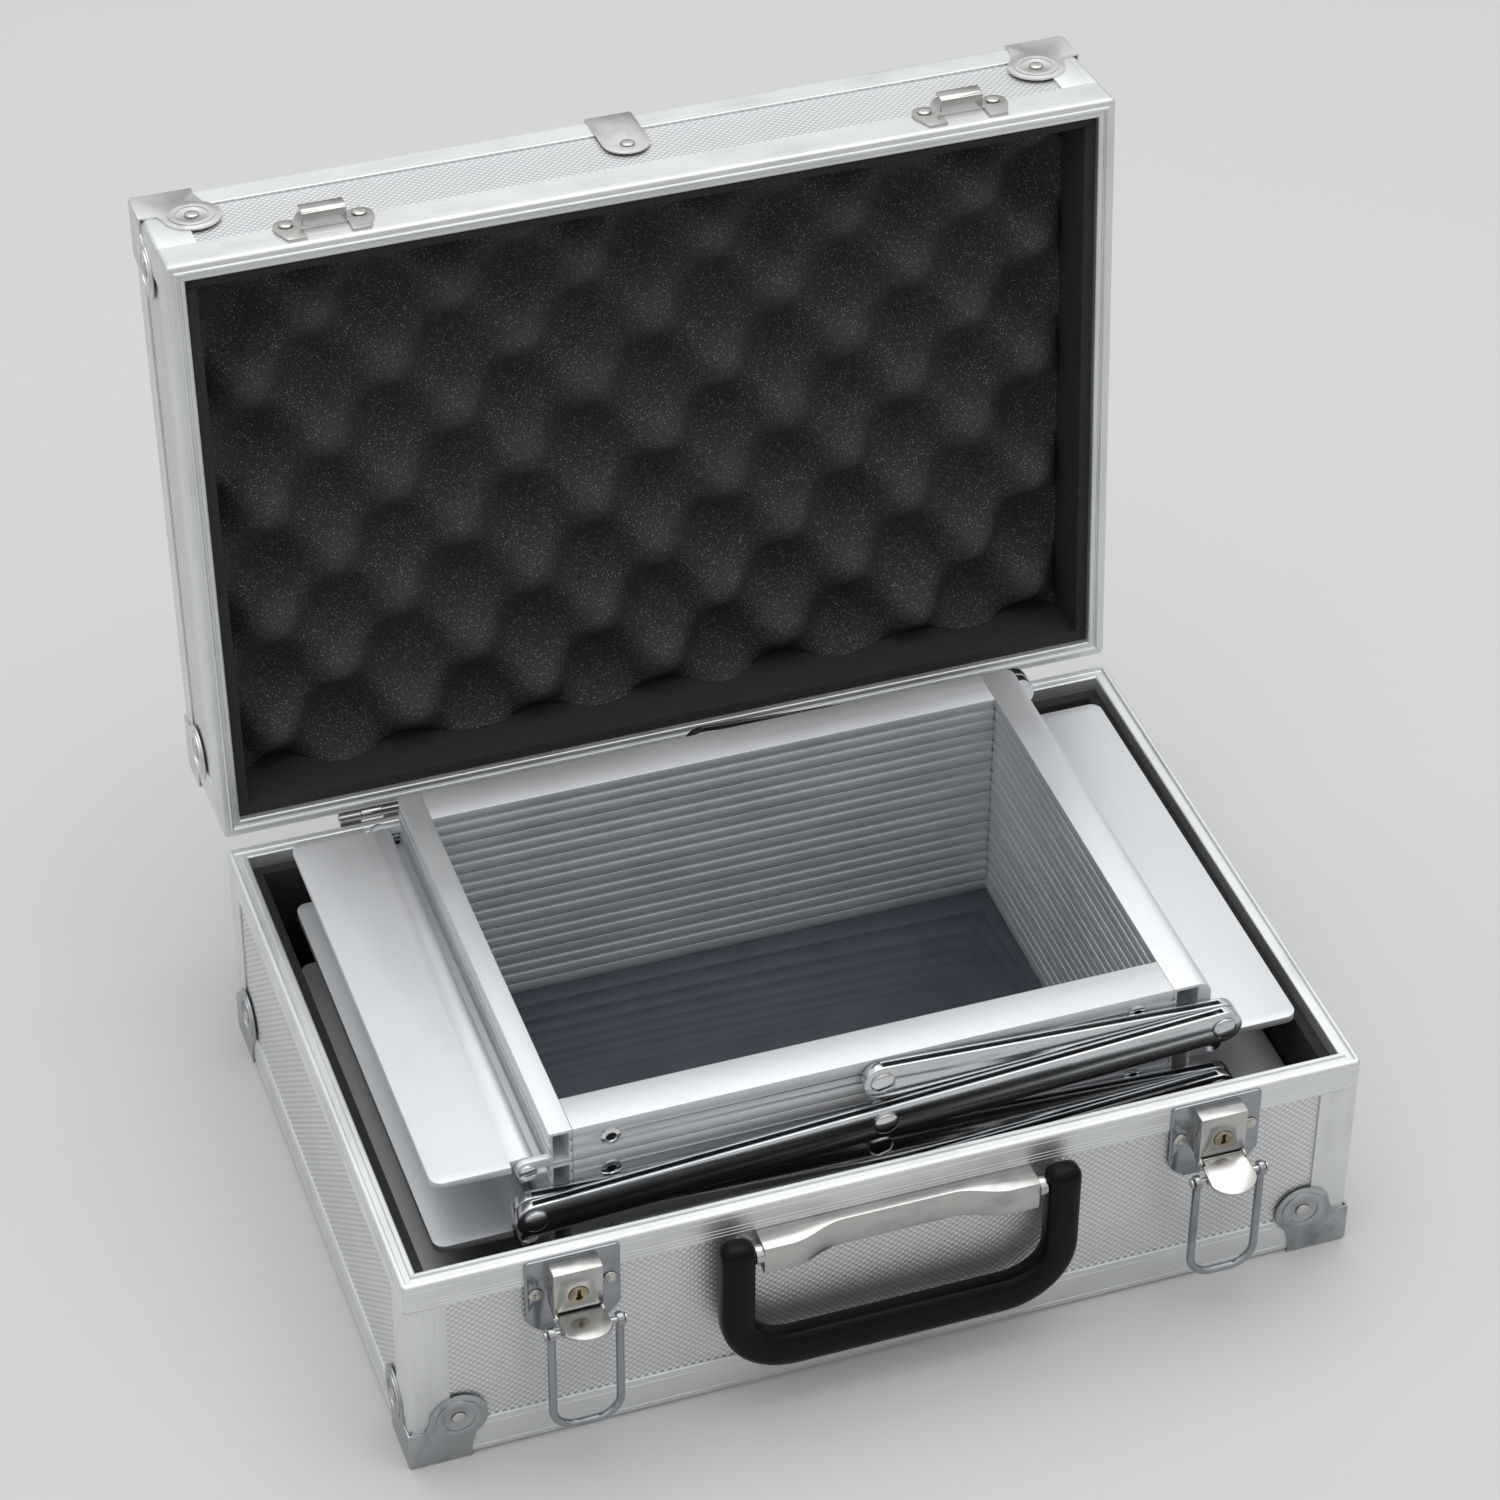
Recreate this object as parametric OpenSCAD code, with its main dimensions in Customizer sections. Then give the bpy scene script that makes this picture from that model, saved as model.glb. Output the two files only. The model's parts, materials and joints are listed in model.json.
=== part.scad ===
// An aluminium carrying case that holds a folding zig-zag brochure stand.
// Sizes are in millimetres. Places are measured from the case's lower left front corner, with X to
// the right, Y to the back and Z up, and placed() then moves the case over the origin.

/* [Case] */
// Outside width of the case, side to side
case_w = 400; // [380:5:440]
// Outside depth of the case, front to back
case_d = 272; // [262:2:300]
// Height of the base's rim above the table
base_h = 99.6; // [95:1:110]
// Height of the lid from its mouth to its top
lid_h = 60.5; // [56:1:72]
// Angle that the lid stands open in its resting pose, in degrees
lid_open = 95.2; // [60:1:100]
// Gap between the two rims when the lid is shut
rim_gap = 0.4; // [0.2:0.1:0.8]
// Thickness of the covered boards
board_t = 5.2; // [4:0.2:6]
// Wall of the aluminium profiles, and how deep the boards lie behind their faces
profile_t = 1; // [0.8:0.1:1.4]
// Outside radius of the upright corners
corner_r = 2.5; // [1.5:0.5:4]
// Width of the rim's top face
rim_w = 7.5; // [7:0.1:9]
// Thickness of the rim's top face
rim_top_t = 2.4; // [2:0.1:3]
// Height of the base rim's outer band
base_band_h = 14; // [10:1:18]
// Height of the lid rim's outer band
lid_band_h = 17; // [12:1:20]
// Depth of the rim's inner flange
rim_flange_h = 12; // [8:1:16]
// Width of the groove along the base rim
groove_w = 3; // [2.4:0.2:4]
// Depth of the groove along the base rim
groove_depth = 1.2; // [1:0.1:1.6]
// Width of the bead along the lid rim
bead_w = 1.6; // [1:0.2:2]
// Height of the bead along the lid rim
bead_h = 0.8; // [0.5:0.1:1]
// Height of the edging round the bottom of the base
base_edging_h = 18; // [12:1:22]
// Height of the edging round the top of the lid
lid_edging_h = 13; // [10:1:18]
// Width of each leg of the corner posts
post_w = 17; // [12:1:22]

/* [Foam lining] */
// Thickness of the foam on the walls
wall_foam_t = 5; // [4:0.5:7]
// How far the wall foam stops below the base's rim
foam_drop = 6.6; // [4:0.5:10]
// Gap between the floor foam and the stand
floor_foam_gap = 0.3; // [0.3:0.1:1]
// Distance from the lid's mouth to the crests of the egg-crate foam
crest_z = 16; // [14:1:24]
// Distance from the lid's mouth to the hollows of the egg-crate foam
hollow_z = 40; // [34:1:46]
// Distance from one crest to the next hollow
crate_step = 28.3; // [24:0.5:34]

/* [Corner caps and rivets] */
// Thickness of the pressed caps
cap_t = 0.8; // [0.6:0.1:1]
// Radius of the round lobe on each face of a cap
cap_lobe_r = 12; // [10:0.5:14]
// Distance of the cap's rivet from the upright edge
cap_rivet_x = 20; // [18:0.5:24]
// Distance of the cap's rivet from the level edge
cap_rivet_z = 22; // [20:0.5:26]
// Radius of a rivet's shank
rivet_r = 1.6; // [1.2:0.1:2]
// Radius of a rivet's head
rivet_head_r = 3; // [2.4:0.1:3.6]
// Height of a rivet's head
rivet_head_h = 1; // [0.6:0.1:1.2]
// How deep the rivets reach into the boards
rivet_reach = 5; // [4:0.2:5.6]

/* [Hinges] */
// Left edge of the left hinge
hinge_left_x = 50; // [40:1:80]
// Left edge of the right hinge
hinge_right_x = 322; // [290:1:330]
// Width of a hinge
hinge_w = 28; // [24:1:40]
// Radius of the hinge knuckles
knuckle_r = 2.6; // [2.2:0.1:2.7]
// Radius of the hinge pins
hinge_pin_r = 1.3; // [1:0.1:1.5]
// Thickness of the hinge leaves
leaf_t = 1.2; // [1:0.1:1.5]
// Height of each leaf
leaf_h = 18; // [14:1:24]
// Distance from the back wall to the hinge axis
hinge_out = 2.8; // [2.8:0.1:3.4]
// Height of the hinge axis above the base's rim
hinge_up = 1.8; // [1.6:0.1:2.4]

/* [Latches] */
// Middle of the left latch from the case's left side
latch_left_x = 67.5; // [50:1:90]
// Middle of the right latch from the case's left side
latch_right_x = 336.5; // [310:1:350]
// How far the left lever stands out from its shut position, in degrees
lever_left_rest = 97; // [60:1:110]
// How far the right lever stands out from its shut position, in degrees
lever_right_rest = 77; // [60:1:110]
// Width of the latch's back plate
latch_plate_w = 38.6; // [36:1:44]
// Thickness of the plates of the latches, catches and bracket
plate_t = 1.2; // [1:0.1:1.5]
// Height of the lower edge of the latch plate above the table
latch_plate_bottom = 60; // [56:1:64]
// Distance from the rim's top down to the latch plate's upper edge
latch_plate_drop = 1.1; // [1:0.1:3]
// Width of the lock housing
housing_w = 20; // [18:0.5:22]
// Height of the lock housing
housing_h = 22.1; // [20:0.5:24]
// Distance from the wall to the housing's front face
housing_d = 9; // [9:0.5:12]
// Distance from the rim's top down to the housing's top
housing_drop = 3.1; // [2:0.1:6]
// Distance from the housing's lower edge down to the lever's axis
lever_axis_drop = 1.4; // [1.2:0.1:2.5]
// Length of the lever from its axis to its tip
lever_l = 19; // [17:0.5:22]
// Width of the lever
lever_w = 19.5; // [17:0.5:20]
// Thickness of the lever's plate
lever_t = 1.6; // [1.2:0.1:2]
// Distance from the lever's axis to the bail's axis
bail_arm = 8; // [7:0.5:9]
// Radius of the latch pins
latch_pin_r = 1.25; // [1:0.05:1.5]
// Distance from the bail's axis to the middle of its bar
bail_l = 52; // [51:0.2:53]
// Distance from the bail's middle to the middle of each side wire
bail_half_w = 13.8; // [13:0.2:16]
// Radius of the bail's wire
bail_wire_r = 1.7; // [1.4:0.1:2]
// Radius of the bail's bends
bail_bend_r = 10; // [8:0.5:12]
// Radius of the lock cylinder
lock_r = 3.9; // [3:0.1:5]
// Height of the hook's shelf above the lid's mouth
hook_z = 11.4; // [11:0.1:12]
// Width of the hook
hook_w = 18.3; // [16:0.5:20]
// Distance from the wall to the hook's front face
hook_d = 8; // [7.5:0.5:10]
// Height of the hook's lip above the lid's mouth
hook_top = 18; // [17:0.5:20]

/* [Handle] */
// Left edge of the handle from the case's left side
handle_x = 124.5; // [110:0.5:135]
// Width of the handle
handle_w = 150; // [140:1:160]
// Width of the handle's arms
arm_w = 14; // [12:0.5:16]
// Height of the handle's grip bar
grip_h = 17; // [14:0.5:20]
// Depth of the handle, front to back
grip_d = 11; // [9:0.5:12]
// Height of the grip's lower edge above the table
grip_z = 20; // [16:1:26]
// Outside radius of the handle's bends
grip_bend_r = 24; // [20:1:28]
// Height of the handle's axis above the table
handle_axis_z = 82.5; // [80:0.5:83]
// Distance from the handle's axis to the arms' upper ends
arm_over = 8.4; // [7.5:0.1:8.6]
// Distance from the wall to the handle's axis
handle_out = 9; // [9:0.5:11]
// Radius of the handle's pins
handle_pin_r = 2.5; // [2:0.1:3]
// Gap between the handle's arms and the bracket
bracket_gap = 3.5; // [2:0.5:5]
// Distance from the wall to the bracket's front face at its ends
bracket_d = 12; // [11:0.5:14]
// How far the bracket's middle lies behind its ends
bracket_wave = 6.2; // [4:0.2:7]
// Height of the bracket's front flange
bracket_h = 13.5; // [10:0.5:16]

/* [Stand] */
// Number of frames in the stand
frame_count = 7; // [7:1:7]
// Height from one frame to the next
pitch = 17; // [16:0.1:18]
// Gap between two frames
frame_gap = 0.4; // [0.3:0.1:0.8]
// Height of the folded stand's underside above the table
stand_z = 12; // [11.6:0.1:14]
// Gap between the stand and the left wall's foam
stand_gap_left = 9.5; // [8:0.5:16]
// Gap between the stand and the right wall's foam
stand_gap_right = 1.5; // [1.5:0.5:6]
// Gap between the frames and the front wall's foam
stand_gap_front = 19.5; // [14:0.5:22]
// Gap between the frames and the back wall's foam
stand_gap_back = 13.5; // [13:0.5:18]
// Half of the frames' inner opening, side to side
opening_half = 125.5; // [118:0.5:128]
// Width of the frames' side bars
side_bar_w = 9.5; // [8:0.5:10]
// Width of the frames' front and back bars
cross_bar_w = 18; // [15:0.5:20]
// Wall of the hollow bars
bar_wall = 1.6; // [1.4:0.1:2]
// Depth of the fine grooves along the bars
rib_depth = 0.8; // [0.4:0.1:0.9]
// Distance from a side bar to its hinge axis
hinge_offset = 9; // [8.5:0.1:10]
// Radius of the stand's hinge beads and ears
bead_r = 4.5; // [4:0.1:5]
// Radius of the stand's pins and bolts
pin_r = 2; // [1.6:0.1:2.2]
// Running clearance of a moving pin in its bore
run_fit = 0.05; // [0.03:0.01:0.1]
// Thickness of the stand's side shelves
shelf_t = 3.5; // [3:0.5:4]
// Height of a shelf's top above its hinge axis
shelf_rise = 4.2; // [3.5:0.1:4.3]
// Radius of the shelves' corners
shelf_corner_r = 5; // [2:0.5:8]
// Distance from a hinge axis down to the web that carries its bead
web_drop = 5.5; // [5:0.1:6]
// Thickness of the hinge ears
ear_t = 3; // [2:0.5:4]
// Height of the links
link_h = 15.4; // [13:0.2:16]
// Thickness of the links, outside
link_d = 4.6; // [4:0.1:5]
// Sheet thickness of the links
link_t = 1.2; // [1:0.1:1.4]
// Gap between the frames and the inner links
link_gap = 0.8; // [0.7:0.1:1.2]
// Distance of the frame screws from the middle
screw_x = 110; // [95:1:115]
// Length of the frame screws under their heads
screw_l = 8; // [6:0.5:9]
// Radius of the frame screws' heads
screw_head_r = 4.2; // [3.5:0.1:5]
// Height of the frame screws' heads
screw_head_h = 0.5; // [0.4:0.1:0.6]
// Radius of the caps on the frames' hinge pins
pin_cap_r = 3.6; // [3:0.1:4]
// Thickness of the caps on the frames' hinge pins
pin_cap_t = 1.4; // [1:0.1:1.5]
// Depth of the links' bolts in the frames' bars
bolt_grip = 5; // [4:0.5:6]
// Thickness of the stand's floor panel
floor_panel_t = 2; // [1.5:0.5:3]
// Height of the floor panel above the lowest frame's underside
floor_panel_z = 9.8; // [6:0.1:12]

/* [Hidden] */
$fn = 48;

// Fine gaps and small overlaps
seam = 0.05;
press_fit = 0.02;
cut = 1;

// Case
inner_face = rim_w + wall_foam_t;
base_z = cap_t;
board_z = base_z + profile_t;
floor_z = board_z + board_t;
board_in = profile_t + board_t;
rim_z = base_h;
post_z = base_z + base_edging_h;
band_z = rim_z - base_band_h;
lid_z = base_h + rim_gap;
lid_board_z = lid_h - profile_t - board_t;
hinge_y = case_d + hinge_out;
hinge_z = base_h + hinge_up;
line_z = 4.4;
line_d = 0.3;
line_w = 0.6;

// Latches
latch_xs = [latch_left_x, latch_right_x];
housing_top = rim_z - housing_drop;
housing_z = housing_top - housing_h;
lever_y = -housing_d;
lever_z = housing_z - lever_axis_drop;
lock_z = housing_z + 9.6;
notch_r = 3.4;
barrel_r = 2.4;
face_out = 2.8;
ear_w = 1.2;
neck_half = housing_w / 2 - ear_w - 0.3;
eye_r = 3;
eye_w = 2.4;
plate_rivet_x = 15;
latch_rivet_z = rim_z - 18.6;
catch_rivet_z = 15.5;
catch_bottom = 3;
catch_dome_r = 11;
catch_dome_top = 28;

// Handle
grip_y = -handle_out - 0.5;
bracket_x0 = handle_x + arm_w + bracket_gap;
bracket_x1 = handle_x + handle_w - arm_w - bracket_gap;
bracket_top = handle_axis_z + 4.5;

// Stand
frame_h = pitch - frame_gap;
stand_half = (case_w - 2 * inner_face - stand_gap_left - stand_gap_right) / 2;
stand_x = case_w - inner_face - stand_gap_right - stand_half;
frame_y0 = inner_face + stand_gap_front;
frame_y1 = case_d - inner_face - stand_gap_back;
bar_out = opening_half + side_bar_w;
node_x = bar_out + hinge_offset;
bead_y0 = frame_y0 + ear_t + 0.3;
bead_y1 = frame_y1 - ear_t - 0.3;
free_bar_out = opening_half + 16.5;
bullnose_r = 6;
link_len = norm([2 * node_x, pitch]);
link_tilt = atan(pitch / (2 * node_x));
plane_gap = 0.4;
outer_plane = link_gap + link_d + plane_gap;
bolt_head_r = 5;
bolt_head_h = 1.5;
screw_r = 1.6;
floor_foam_top = stand_z + frame_gap / 2 - floor_foam_gap;

// The case's footprint reaches from the left lever's tip to the far edge of the open lid
front_reach = lever_l * sin(lever_left_rest) + face_out * abs(cos(lever_left_rest)) - lever_y;
back_reach = hinge_y + (lid_z + lid_h + cap_t - hinge_z) * sin(lid_open)
    - (hinge_y + cap_t) * cos(lid_open);
mid_y = (back_reach - front_reach) / 2;

metal = "#c6c9cc";
skin = "#bfc3c6";
chrome = "#d8dbde";
foam = "#2c2c2f";
black_plastic = "#161617";
dark_panel = "#2a3037";
brass = "#b59a62";

// Moves the whole case over the origin
module placed() {
    translate([-case_w / 2, -mid_y, 0]) children();
}

// Lid parts are drawn shut, with Z measured from the lid's mouth, and this opens them
module lid_pose() {
    placed()
        translate([0, hinge_y, hinge_z])
            rotate([-lid_open, 0, 0])
                translate([0, -hinge_y, lid_z - hinge_z])
                    children();
}

// Extrudes a section drawn in X and Z along Y
module along_y(y0, y1) {
    translate([0, y1, 0]) rotate([90, 0, 0]) linear_extrude(y1 - y0) children();
}

// Extrudes a section drawn in Y and Z along X
module along_x(x0, x1) {
    translate([x0, 0, 0]) rotate([90, 0, 90]) linear_extrude(x1 - x0) children();
}

module rounded_rect(w, d, r) {
    translate([r, 0]) square([w - 2 * r, d]);
    translate([0, r]) square([w, d - 2 * r]);
    for (x = [r, w - r], y = [r, d - r]) translate([x, y]) circle(r);
}

// Turns children that point up +Z so that they point into a wall
module into_front() {
    rotate([-90, 0, 0]) children();
}

module into_back() {
    rotate([90, 0, 0]) children();
}

// Four boards round the case, with a seam at each corner
module board_ring(inset, thick, z0, z1) {
    w = case_w - 2 * inset;
    d = case_d - 2 * (inset + thick + seam);
    for (y = [inset, case_d - inset - thick])
        translate([inset, y, z0]) cube([w, thick, z1 - z0]);
    for (x = [inset, case_w - inset - thick])
        translate([x, inset + thick + seam, z0]) cube([thick, d, z1 - z0]);
}

// One rail of a mitred frame, its section drawn inwards and up
module mitred_rail(length, wide, z0, z1) {
    difference() {
        along_x(0, length) children();
        for (end = [0, 1])
            translate([end * length, 0, z0 - cut])
                mirror([end, 0, 0])
                    linear_extrude(z1 - z0 + 2 * cut)
                        polygon([[seam - cut, -cut], [wide + cut + seam, wide + cut], [-cut, wide + cut]]);
    }
}

// Four rails round the case, with round upright corners
module mitred_frame(wide, z0, z1) {
    sides = [[0, 0, 0, case_w], [case_w, 0, 90, case_d],
        [case_w, case_d, 180, case_w], [0, case_d, 270, case_d]];
    intersection() {
        union()
            for (s = sides)
                translate([s[0], s[1], 0]) rotate([0, 0, s[2]]) mitred_rail(s[3], wide, z0, z1) children();
        translate([0, 0, z0 - cut])
            linear_extrude(z1 - z0 + 2 * cut)
                rounded_rect(case_w, case_d, corner_r);
    }
}

// Repeats a corner piece at the four corners, facing outwards
module four_corners() {
    for (mx = [0, 1], my = [0, 1])
        translate([mx * case_w, my * case_d, 0])
            mirror([mx, 0, 0])
                mirror([0, my, 0])
                    children();
}

// L-shaped corner posts between two heights
module corner_posts(z0, z1) {
    translate([0, 0, z0])
        linear_extrude(z1 - z0)
            four_corners()
                difference() {
                    intersection() {
                        rounded_rect(2 * post_w, 2 * post_w, corner_r);
                        square(post_w);
                    }
                    translate([profile_t, profile_t]) square(post_w);
                }
}

// Head below the origin and shank above it
module rivet(shank, r = rivet_head_r, h = rivet_head_h) {
    cylinder(h = shank, r = rivet_r);
    translate([0, 0, -h / 2]) cylinder(h = h / 2, r = r);
    translate([0, 0, -h]) cylinder(h = h / 2, r1 = 0.6 * r, r2 = r);
}

module drill(depth, r = rivet_r) {
    translate([0, 0, -cut]) cylinder(h = depth + cut, r = r + press_fit);
}

// Places of a cap's three rivets, seen from its own corner
module on_cap_walls() {
    translate([cap_rivet_x, 0, cap_rivet_z]) into_front() children();
    translate([0, cap_rivet_x, cap_rivet_z]) rotate([0, 90, 0]) children();
}

module on_cap_end() {
    translate([cap_rivet_x, cap_rivet_x, 0]) children();
}

// Outline of one face of a cap, its corner at the origin
module cap_outline(rivet_v) {
    polygon([[-cap_t, -cap_t], [25, -cap_t], [25, 4.5], [cap_rivet_x + 7, rivet_v - 9.7],
        [cap_rivet_x, rivet_v], [cap_rivet_x - cap_lobe_r, rivet_v], [6, 18], [-cap_t, 18]]);
    translate([cap_rivet_x, rivet_v]) circle(cap_lobe_r);
}

module cap_ring() {
    translate([0, 0, -cap_t - 0.6])
        difference() {
            cylinder(h = 0.8, r = 9.4);
            translate([0, 0, -cut]) cylinder(h = 0.8 + 2 * cut, r = 6.6);
        }
}

// A pressed cap over one corner; the end face may carry a ring and a raised rivet or stay flat
module corner_cap(flat_end) {
    edge_cut = 1.1;
    difference() {
        union() {
            along_y(-cap_t, 0) cap_outline(cap_rivet_z);
            along_x(-cap_t, 0) cap_outline(cap_rivet_z);
            translate([0, 0, -cap_t]) linear_extrude(cap_t) cap_outline(cap_rivet_x);
            on_cap_walls() cap_ring();
            if (!flat_end) on_cap_end() cap_ring();
        }
        on_cap_walls() translate([0, 0, -cap_t]) drill(2 * cap_t);
        on_cap_end() translate([0, 0, -cap_t]) drill(2 * cap_t, flat_end ? rivet_head_r + 0.2 : rivet_r);
        for (turn = [[0, 0, 0], [90, 0, 90], [-90, -90, 0]])
            rotate(turn)
                translate([-cap_t, -cap_t, -50])
                    rotate([0, 0, 45])
                        cube([1.42 * edge_cut, 1.42 * edge_cut, 100], center = true);
    }
}

// Drills for all rivets of the base's walls
module base_drills() {
    translate([0, 0, base_z])
        four_corners() {
            on_cap_walls() drill(rivet_reach);
            on_cap_end() drill(rivet_reach);
        }
    for (x = latch_xs, s = [-1, 1])
        translate([x + s * plate_rivet_x, 0, latch_rivet_z]) into_front() drill(rivet_reach);
    for (x = bracket_rivet_xs())
        translate([x, 0, bracket_rivet_z]) into_front() drill(rivet_reach);
    hinge_rivet_places(-1) drill(rivet_reach);
}

function bracket_rivet_xs() = [for (i = [-1 : 1]) (bracket_x0 + bracket_x1) / 2 + i * 38];
bracket_rivet_z = bracket_top - 6;

// Rivets of the hinge leaves: side -1 is the base's and side 1 is the lid's
module hinge_rivet_places(side) {
    z = side < 0 ? hinge_z - 14 : hinge_z - lid_z + 14;
    for (x = [hinge_left_x, hinge_right_x], u = [0.25, 0.75])
        translate([x + u * hinge_w, case_d, z]) into_back() children();
}

// Base of the case

module base_bottom_panel() {
    color(skin)
        placed()
            difference() {
                translate([profile_t, profile_t, board_z])
                    cube([case_w - 2 * profile_t, case_d - 2 * profile_t, board_t]);
                base_drills();
            }
}

module base_wall_panels() {
    color(skin)
        placed()
            difference() {
                board_ring(profile_t, board_t, floor_z, rim_z - rim_top_t);
                base_drills();
            }
}

module base_rim_section() {
    difference() {
        union() {
            translate([0, rim_z - base_band_h]) square([profile_t, base_band_h]);
            translate([0, rim_z - rim_top_t]) square([rim_w, rim_top_t]);
            translate([board_in, rim_z - rim_flange_h]) square([rim_w - board_in, rim_flange_h]);
        }
        translate([(rim_w - groove_w) / 2, rim_z - groove_depth]) square([groove_w, groove_depth + cut]);
        translate([-cut, band_z + line_z]) square([cut + line_d, line_w]);
    }
}

module base_rim_frame() {
    color(metal)
        placed()
            difference() {
                mitred_frame(rim_w, band_z, rim_z) base_rim_section();
                hinge_rivet_places(-1) drill(rivet_reach);
            }
}

module base_edging_section() {
    translate([0, base_z]) square([profile_t, base_edging_h]);
    translate([0, base_z]) square([base_edging_h, profile_t]);
}

module base_bottom_edging() {
    color(metal)
        placed()
            difference() {
                mitred_frame(base_edging_h, base_z, post_z) base_edging_section();
                base_drills();
            }
}

module base_corner_posts() {
    color(metal)
        placed()
            difference() {
                corner_posts(post_z, band_z);
                base_drills();
            }
}

module base_corner_caps() {
    color(chrome)
        placed()
            translate([0, 0, base_z])
                four_corners()
                    corner_cap(true);
}

module base_rivets() {
    color(chrome)
        placed() {
            translate([0, 0, base_z])
                four_corners() {
                    on_cap_walls() translate([0, 0, -cap_t]) rivet(cap_t + rivet_reach);
                    on_cap_end() {
                        translate([0, 0, -cap_t + 0.1]) cylinder(h = cap_t - 0.1, r = rivet_head_r);
                        cylinder(h = rivet_reach, r = rivet_r);
                    }
                }
            for (x = latch_xs, s = [-1, 1])
                translate([x + s * plate_rivet_x, -plate_t, latch_rivet_z])
                    into_front() rivet(plate_t + rivet_reach);
            for (x = bracket_rivet_xs())
                translate([x, -plate_t, bracket_rivet_z])
                    into_front() rivet(plate_t + rivet_reach);
            hinge_rivet_places(-1) translate([0, 0, -leaf_t]) rivet(leaf_t + rivet_reach);
        }
}

module base_wall_foam() {
    color(foam)
        placed()
            difference() {
                board_ring(board_in, inner_face - board_in, floor_foam_top, rim_z - foam_drop);
                rim_flange_space(rim_z - rim_flange_h, rim_z);
            }
}

// Space that the inner flange of a rim takes out of the wall foam
module rim_flange_space(z0, z1) {
    difference() {
        translate([0, 0, z0]) cube([case_w, case_d, z1 - z0]);
        translate([rim_w, rim_w, z0 - cut])
            cube([case_w - 2 * rim_w, case_d - 2 * rim_w, z1 - z0 + 2 * cut]);
    }
}

module base_floor_foam() {
    color(foam)
        placed()
            translate([board_in, board_in, floor_z])
                cube([case_w - 2 * board_in, case_d - 2 * board_in, floor_foam_top - floor_z]);
}

// Latches

module latch_plate() {
    along_y(-plate_t, 0)
        difference() {
            intersection() {
                translate([-latch_plate_w / 2, latch_plate_bottom])
                    rounded_rect(latch_plate_w, rim_z - latch_plate_drop - latch_plate_bottom, 2);
                translate([0, latch_plate_bottom + 19]) union() {
                    circle(22.5);
                    translate([-latch_plate_w, 0]) square([2 * latch_plate_w, 30]);
                }
            }
            for (s = [-1, 1]) translate([s * plate_rivet_x, latch_rivet_z]) circle(rivet_r + press_fit);
        }
}

module latch_plates() {
    color(chrome)
        placed()
            for (x = latch_xs)
                translate([x, 0, 0]) latch_plate();
}

// The lock housing with two ears that carry the lever's pin
module latch_housing() {
    half = housing_w / 2;
    difference() {
        union() {
            difference() {
                translate([-half, lever_y, housing_z]) cube([housing_w, housing_d - plate_t, housing_h]);
                translate([-half + ear_w, lever_y + ear_w, housing_z - cut])
                    cube([housing_w - 2 * ear_w, housing_d, housing_h - ear_w + cut]);
                along_x(-neck_half, neck_half) translate([lever_y, lever_z]) circle(notch_r);
            }
            for (s = [-1, 1])
                along_x(s > 0 ? half - ear_w : -half, s > 0 ? half : -half + ear_w) {
                    translate([lever_y, lever_z]) circle(2.6);
                    translate([lever_y, lever_z]) square([5, housing_z - lever_z + cut]);
                }
        }
        along_x(-housing_w, housing_w) translate([lever_y, lever_z]) circle(latch_pin_r + press_fit);
        translate([0, lever_y, lock_z]) into_front() drill(2 * ear_w, lock_r + run_fit - press_fit);
    }
}

module latch_housings() {
    color(chrome)
        placed()
            for (x = latch_xs)
                translate([x, 0, 0]) latch_housing();
}

module lever_pins() {
    color(chrome)
        placed()
            for (x = latch_xs)
                translate([x, 0, 0])
                    along_x(-housing_w / 2 - 0.4, housing_w / 2 + 0.4)
                        translate([lever_y, lever_z]) circle(latch_pin_r);
}

// The lever hanging shut below its axis, which is at the origin
module lever() {
    half = lever_w / 2;
    shoulder = 13;
    rise = lever_l - shoulder;
    tip_r = (half * half + rise * rise) / (2 * rise);
    difference() {
        union() {
            along_y(-face_out, -face_out + lever_t) {
                translate([-neck_half, -4]) square([2 * neck_half, 3.5]);
                translate([-half, -shoulder]) square([lever_w, shoulder - notch_r + 0.2]);
                intersection() {
                    translate([0, tip_r - lever_l]) circle(tip_r);
                    translate([-half, -lever_l]) square([lever_w, rise + 0.1]);
                }
            }
            along_x(-neck_half, neck_half) circle(barrel_r);
            along_x(-half, half) translate([0, -bail_arm]) circle(barrel_r);
        }
        along_x(-housing_w, housing_w) {
            circle(latch_pin_r + run_fit);
            translate([0, -bail_arm]) circle(latch_pin_r + run_fit);
        }
    }
}

// Turns a latch part about the lever's axis, by the lever's angle from shut
module lever_pose(x, angle) {
    placed() translate([x, lever_y, lever_z]) rotate([-angle, 0, 0]) children();
}

module lever_left() {
    color(chrome) lever_pose(latch_left_x, lever_left_rest) lever();
}

module lever_right() {
    color(chrome) lever_pose(latch_right_x, lever_right_rest) lever();
}

// Puts a part at the bail's axis without turning it
module bail_pose(x, angle) {
    placed()
        translate([x, lever_y - bail_arm * sin(angle), lever_z - bail_arm * cos(angle)])
            children();
}

module bail_pin() {
    reach = bail_half_w + max(eye_w / 2, bail_wire_r) + 0.2;
    along_x(-reach, reach) circle(latch_pin_r);
    along_x(-reach - 1, -reach) circle(2.1);
    along_x(reach, reach + 1) circle(2.1);
}

module bail_pins_left() {
    color(chrome) bail_pose(latch_left_x, lever_left_rest) bail_pin();
}

module bail_pins_right() {
    color(chrome) bail_pose(latch_right_x, lever_right_rest) bail_pin();
}

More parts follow.
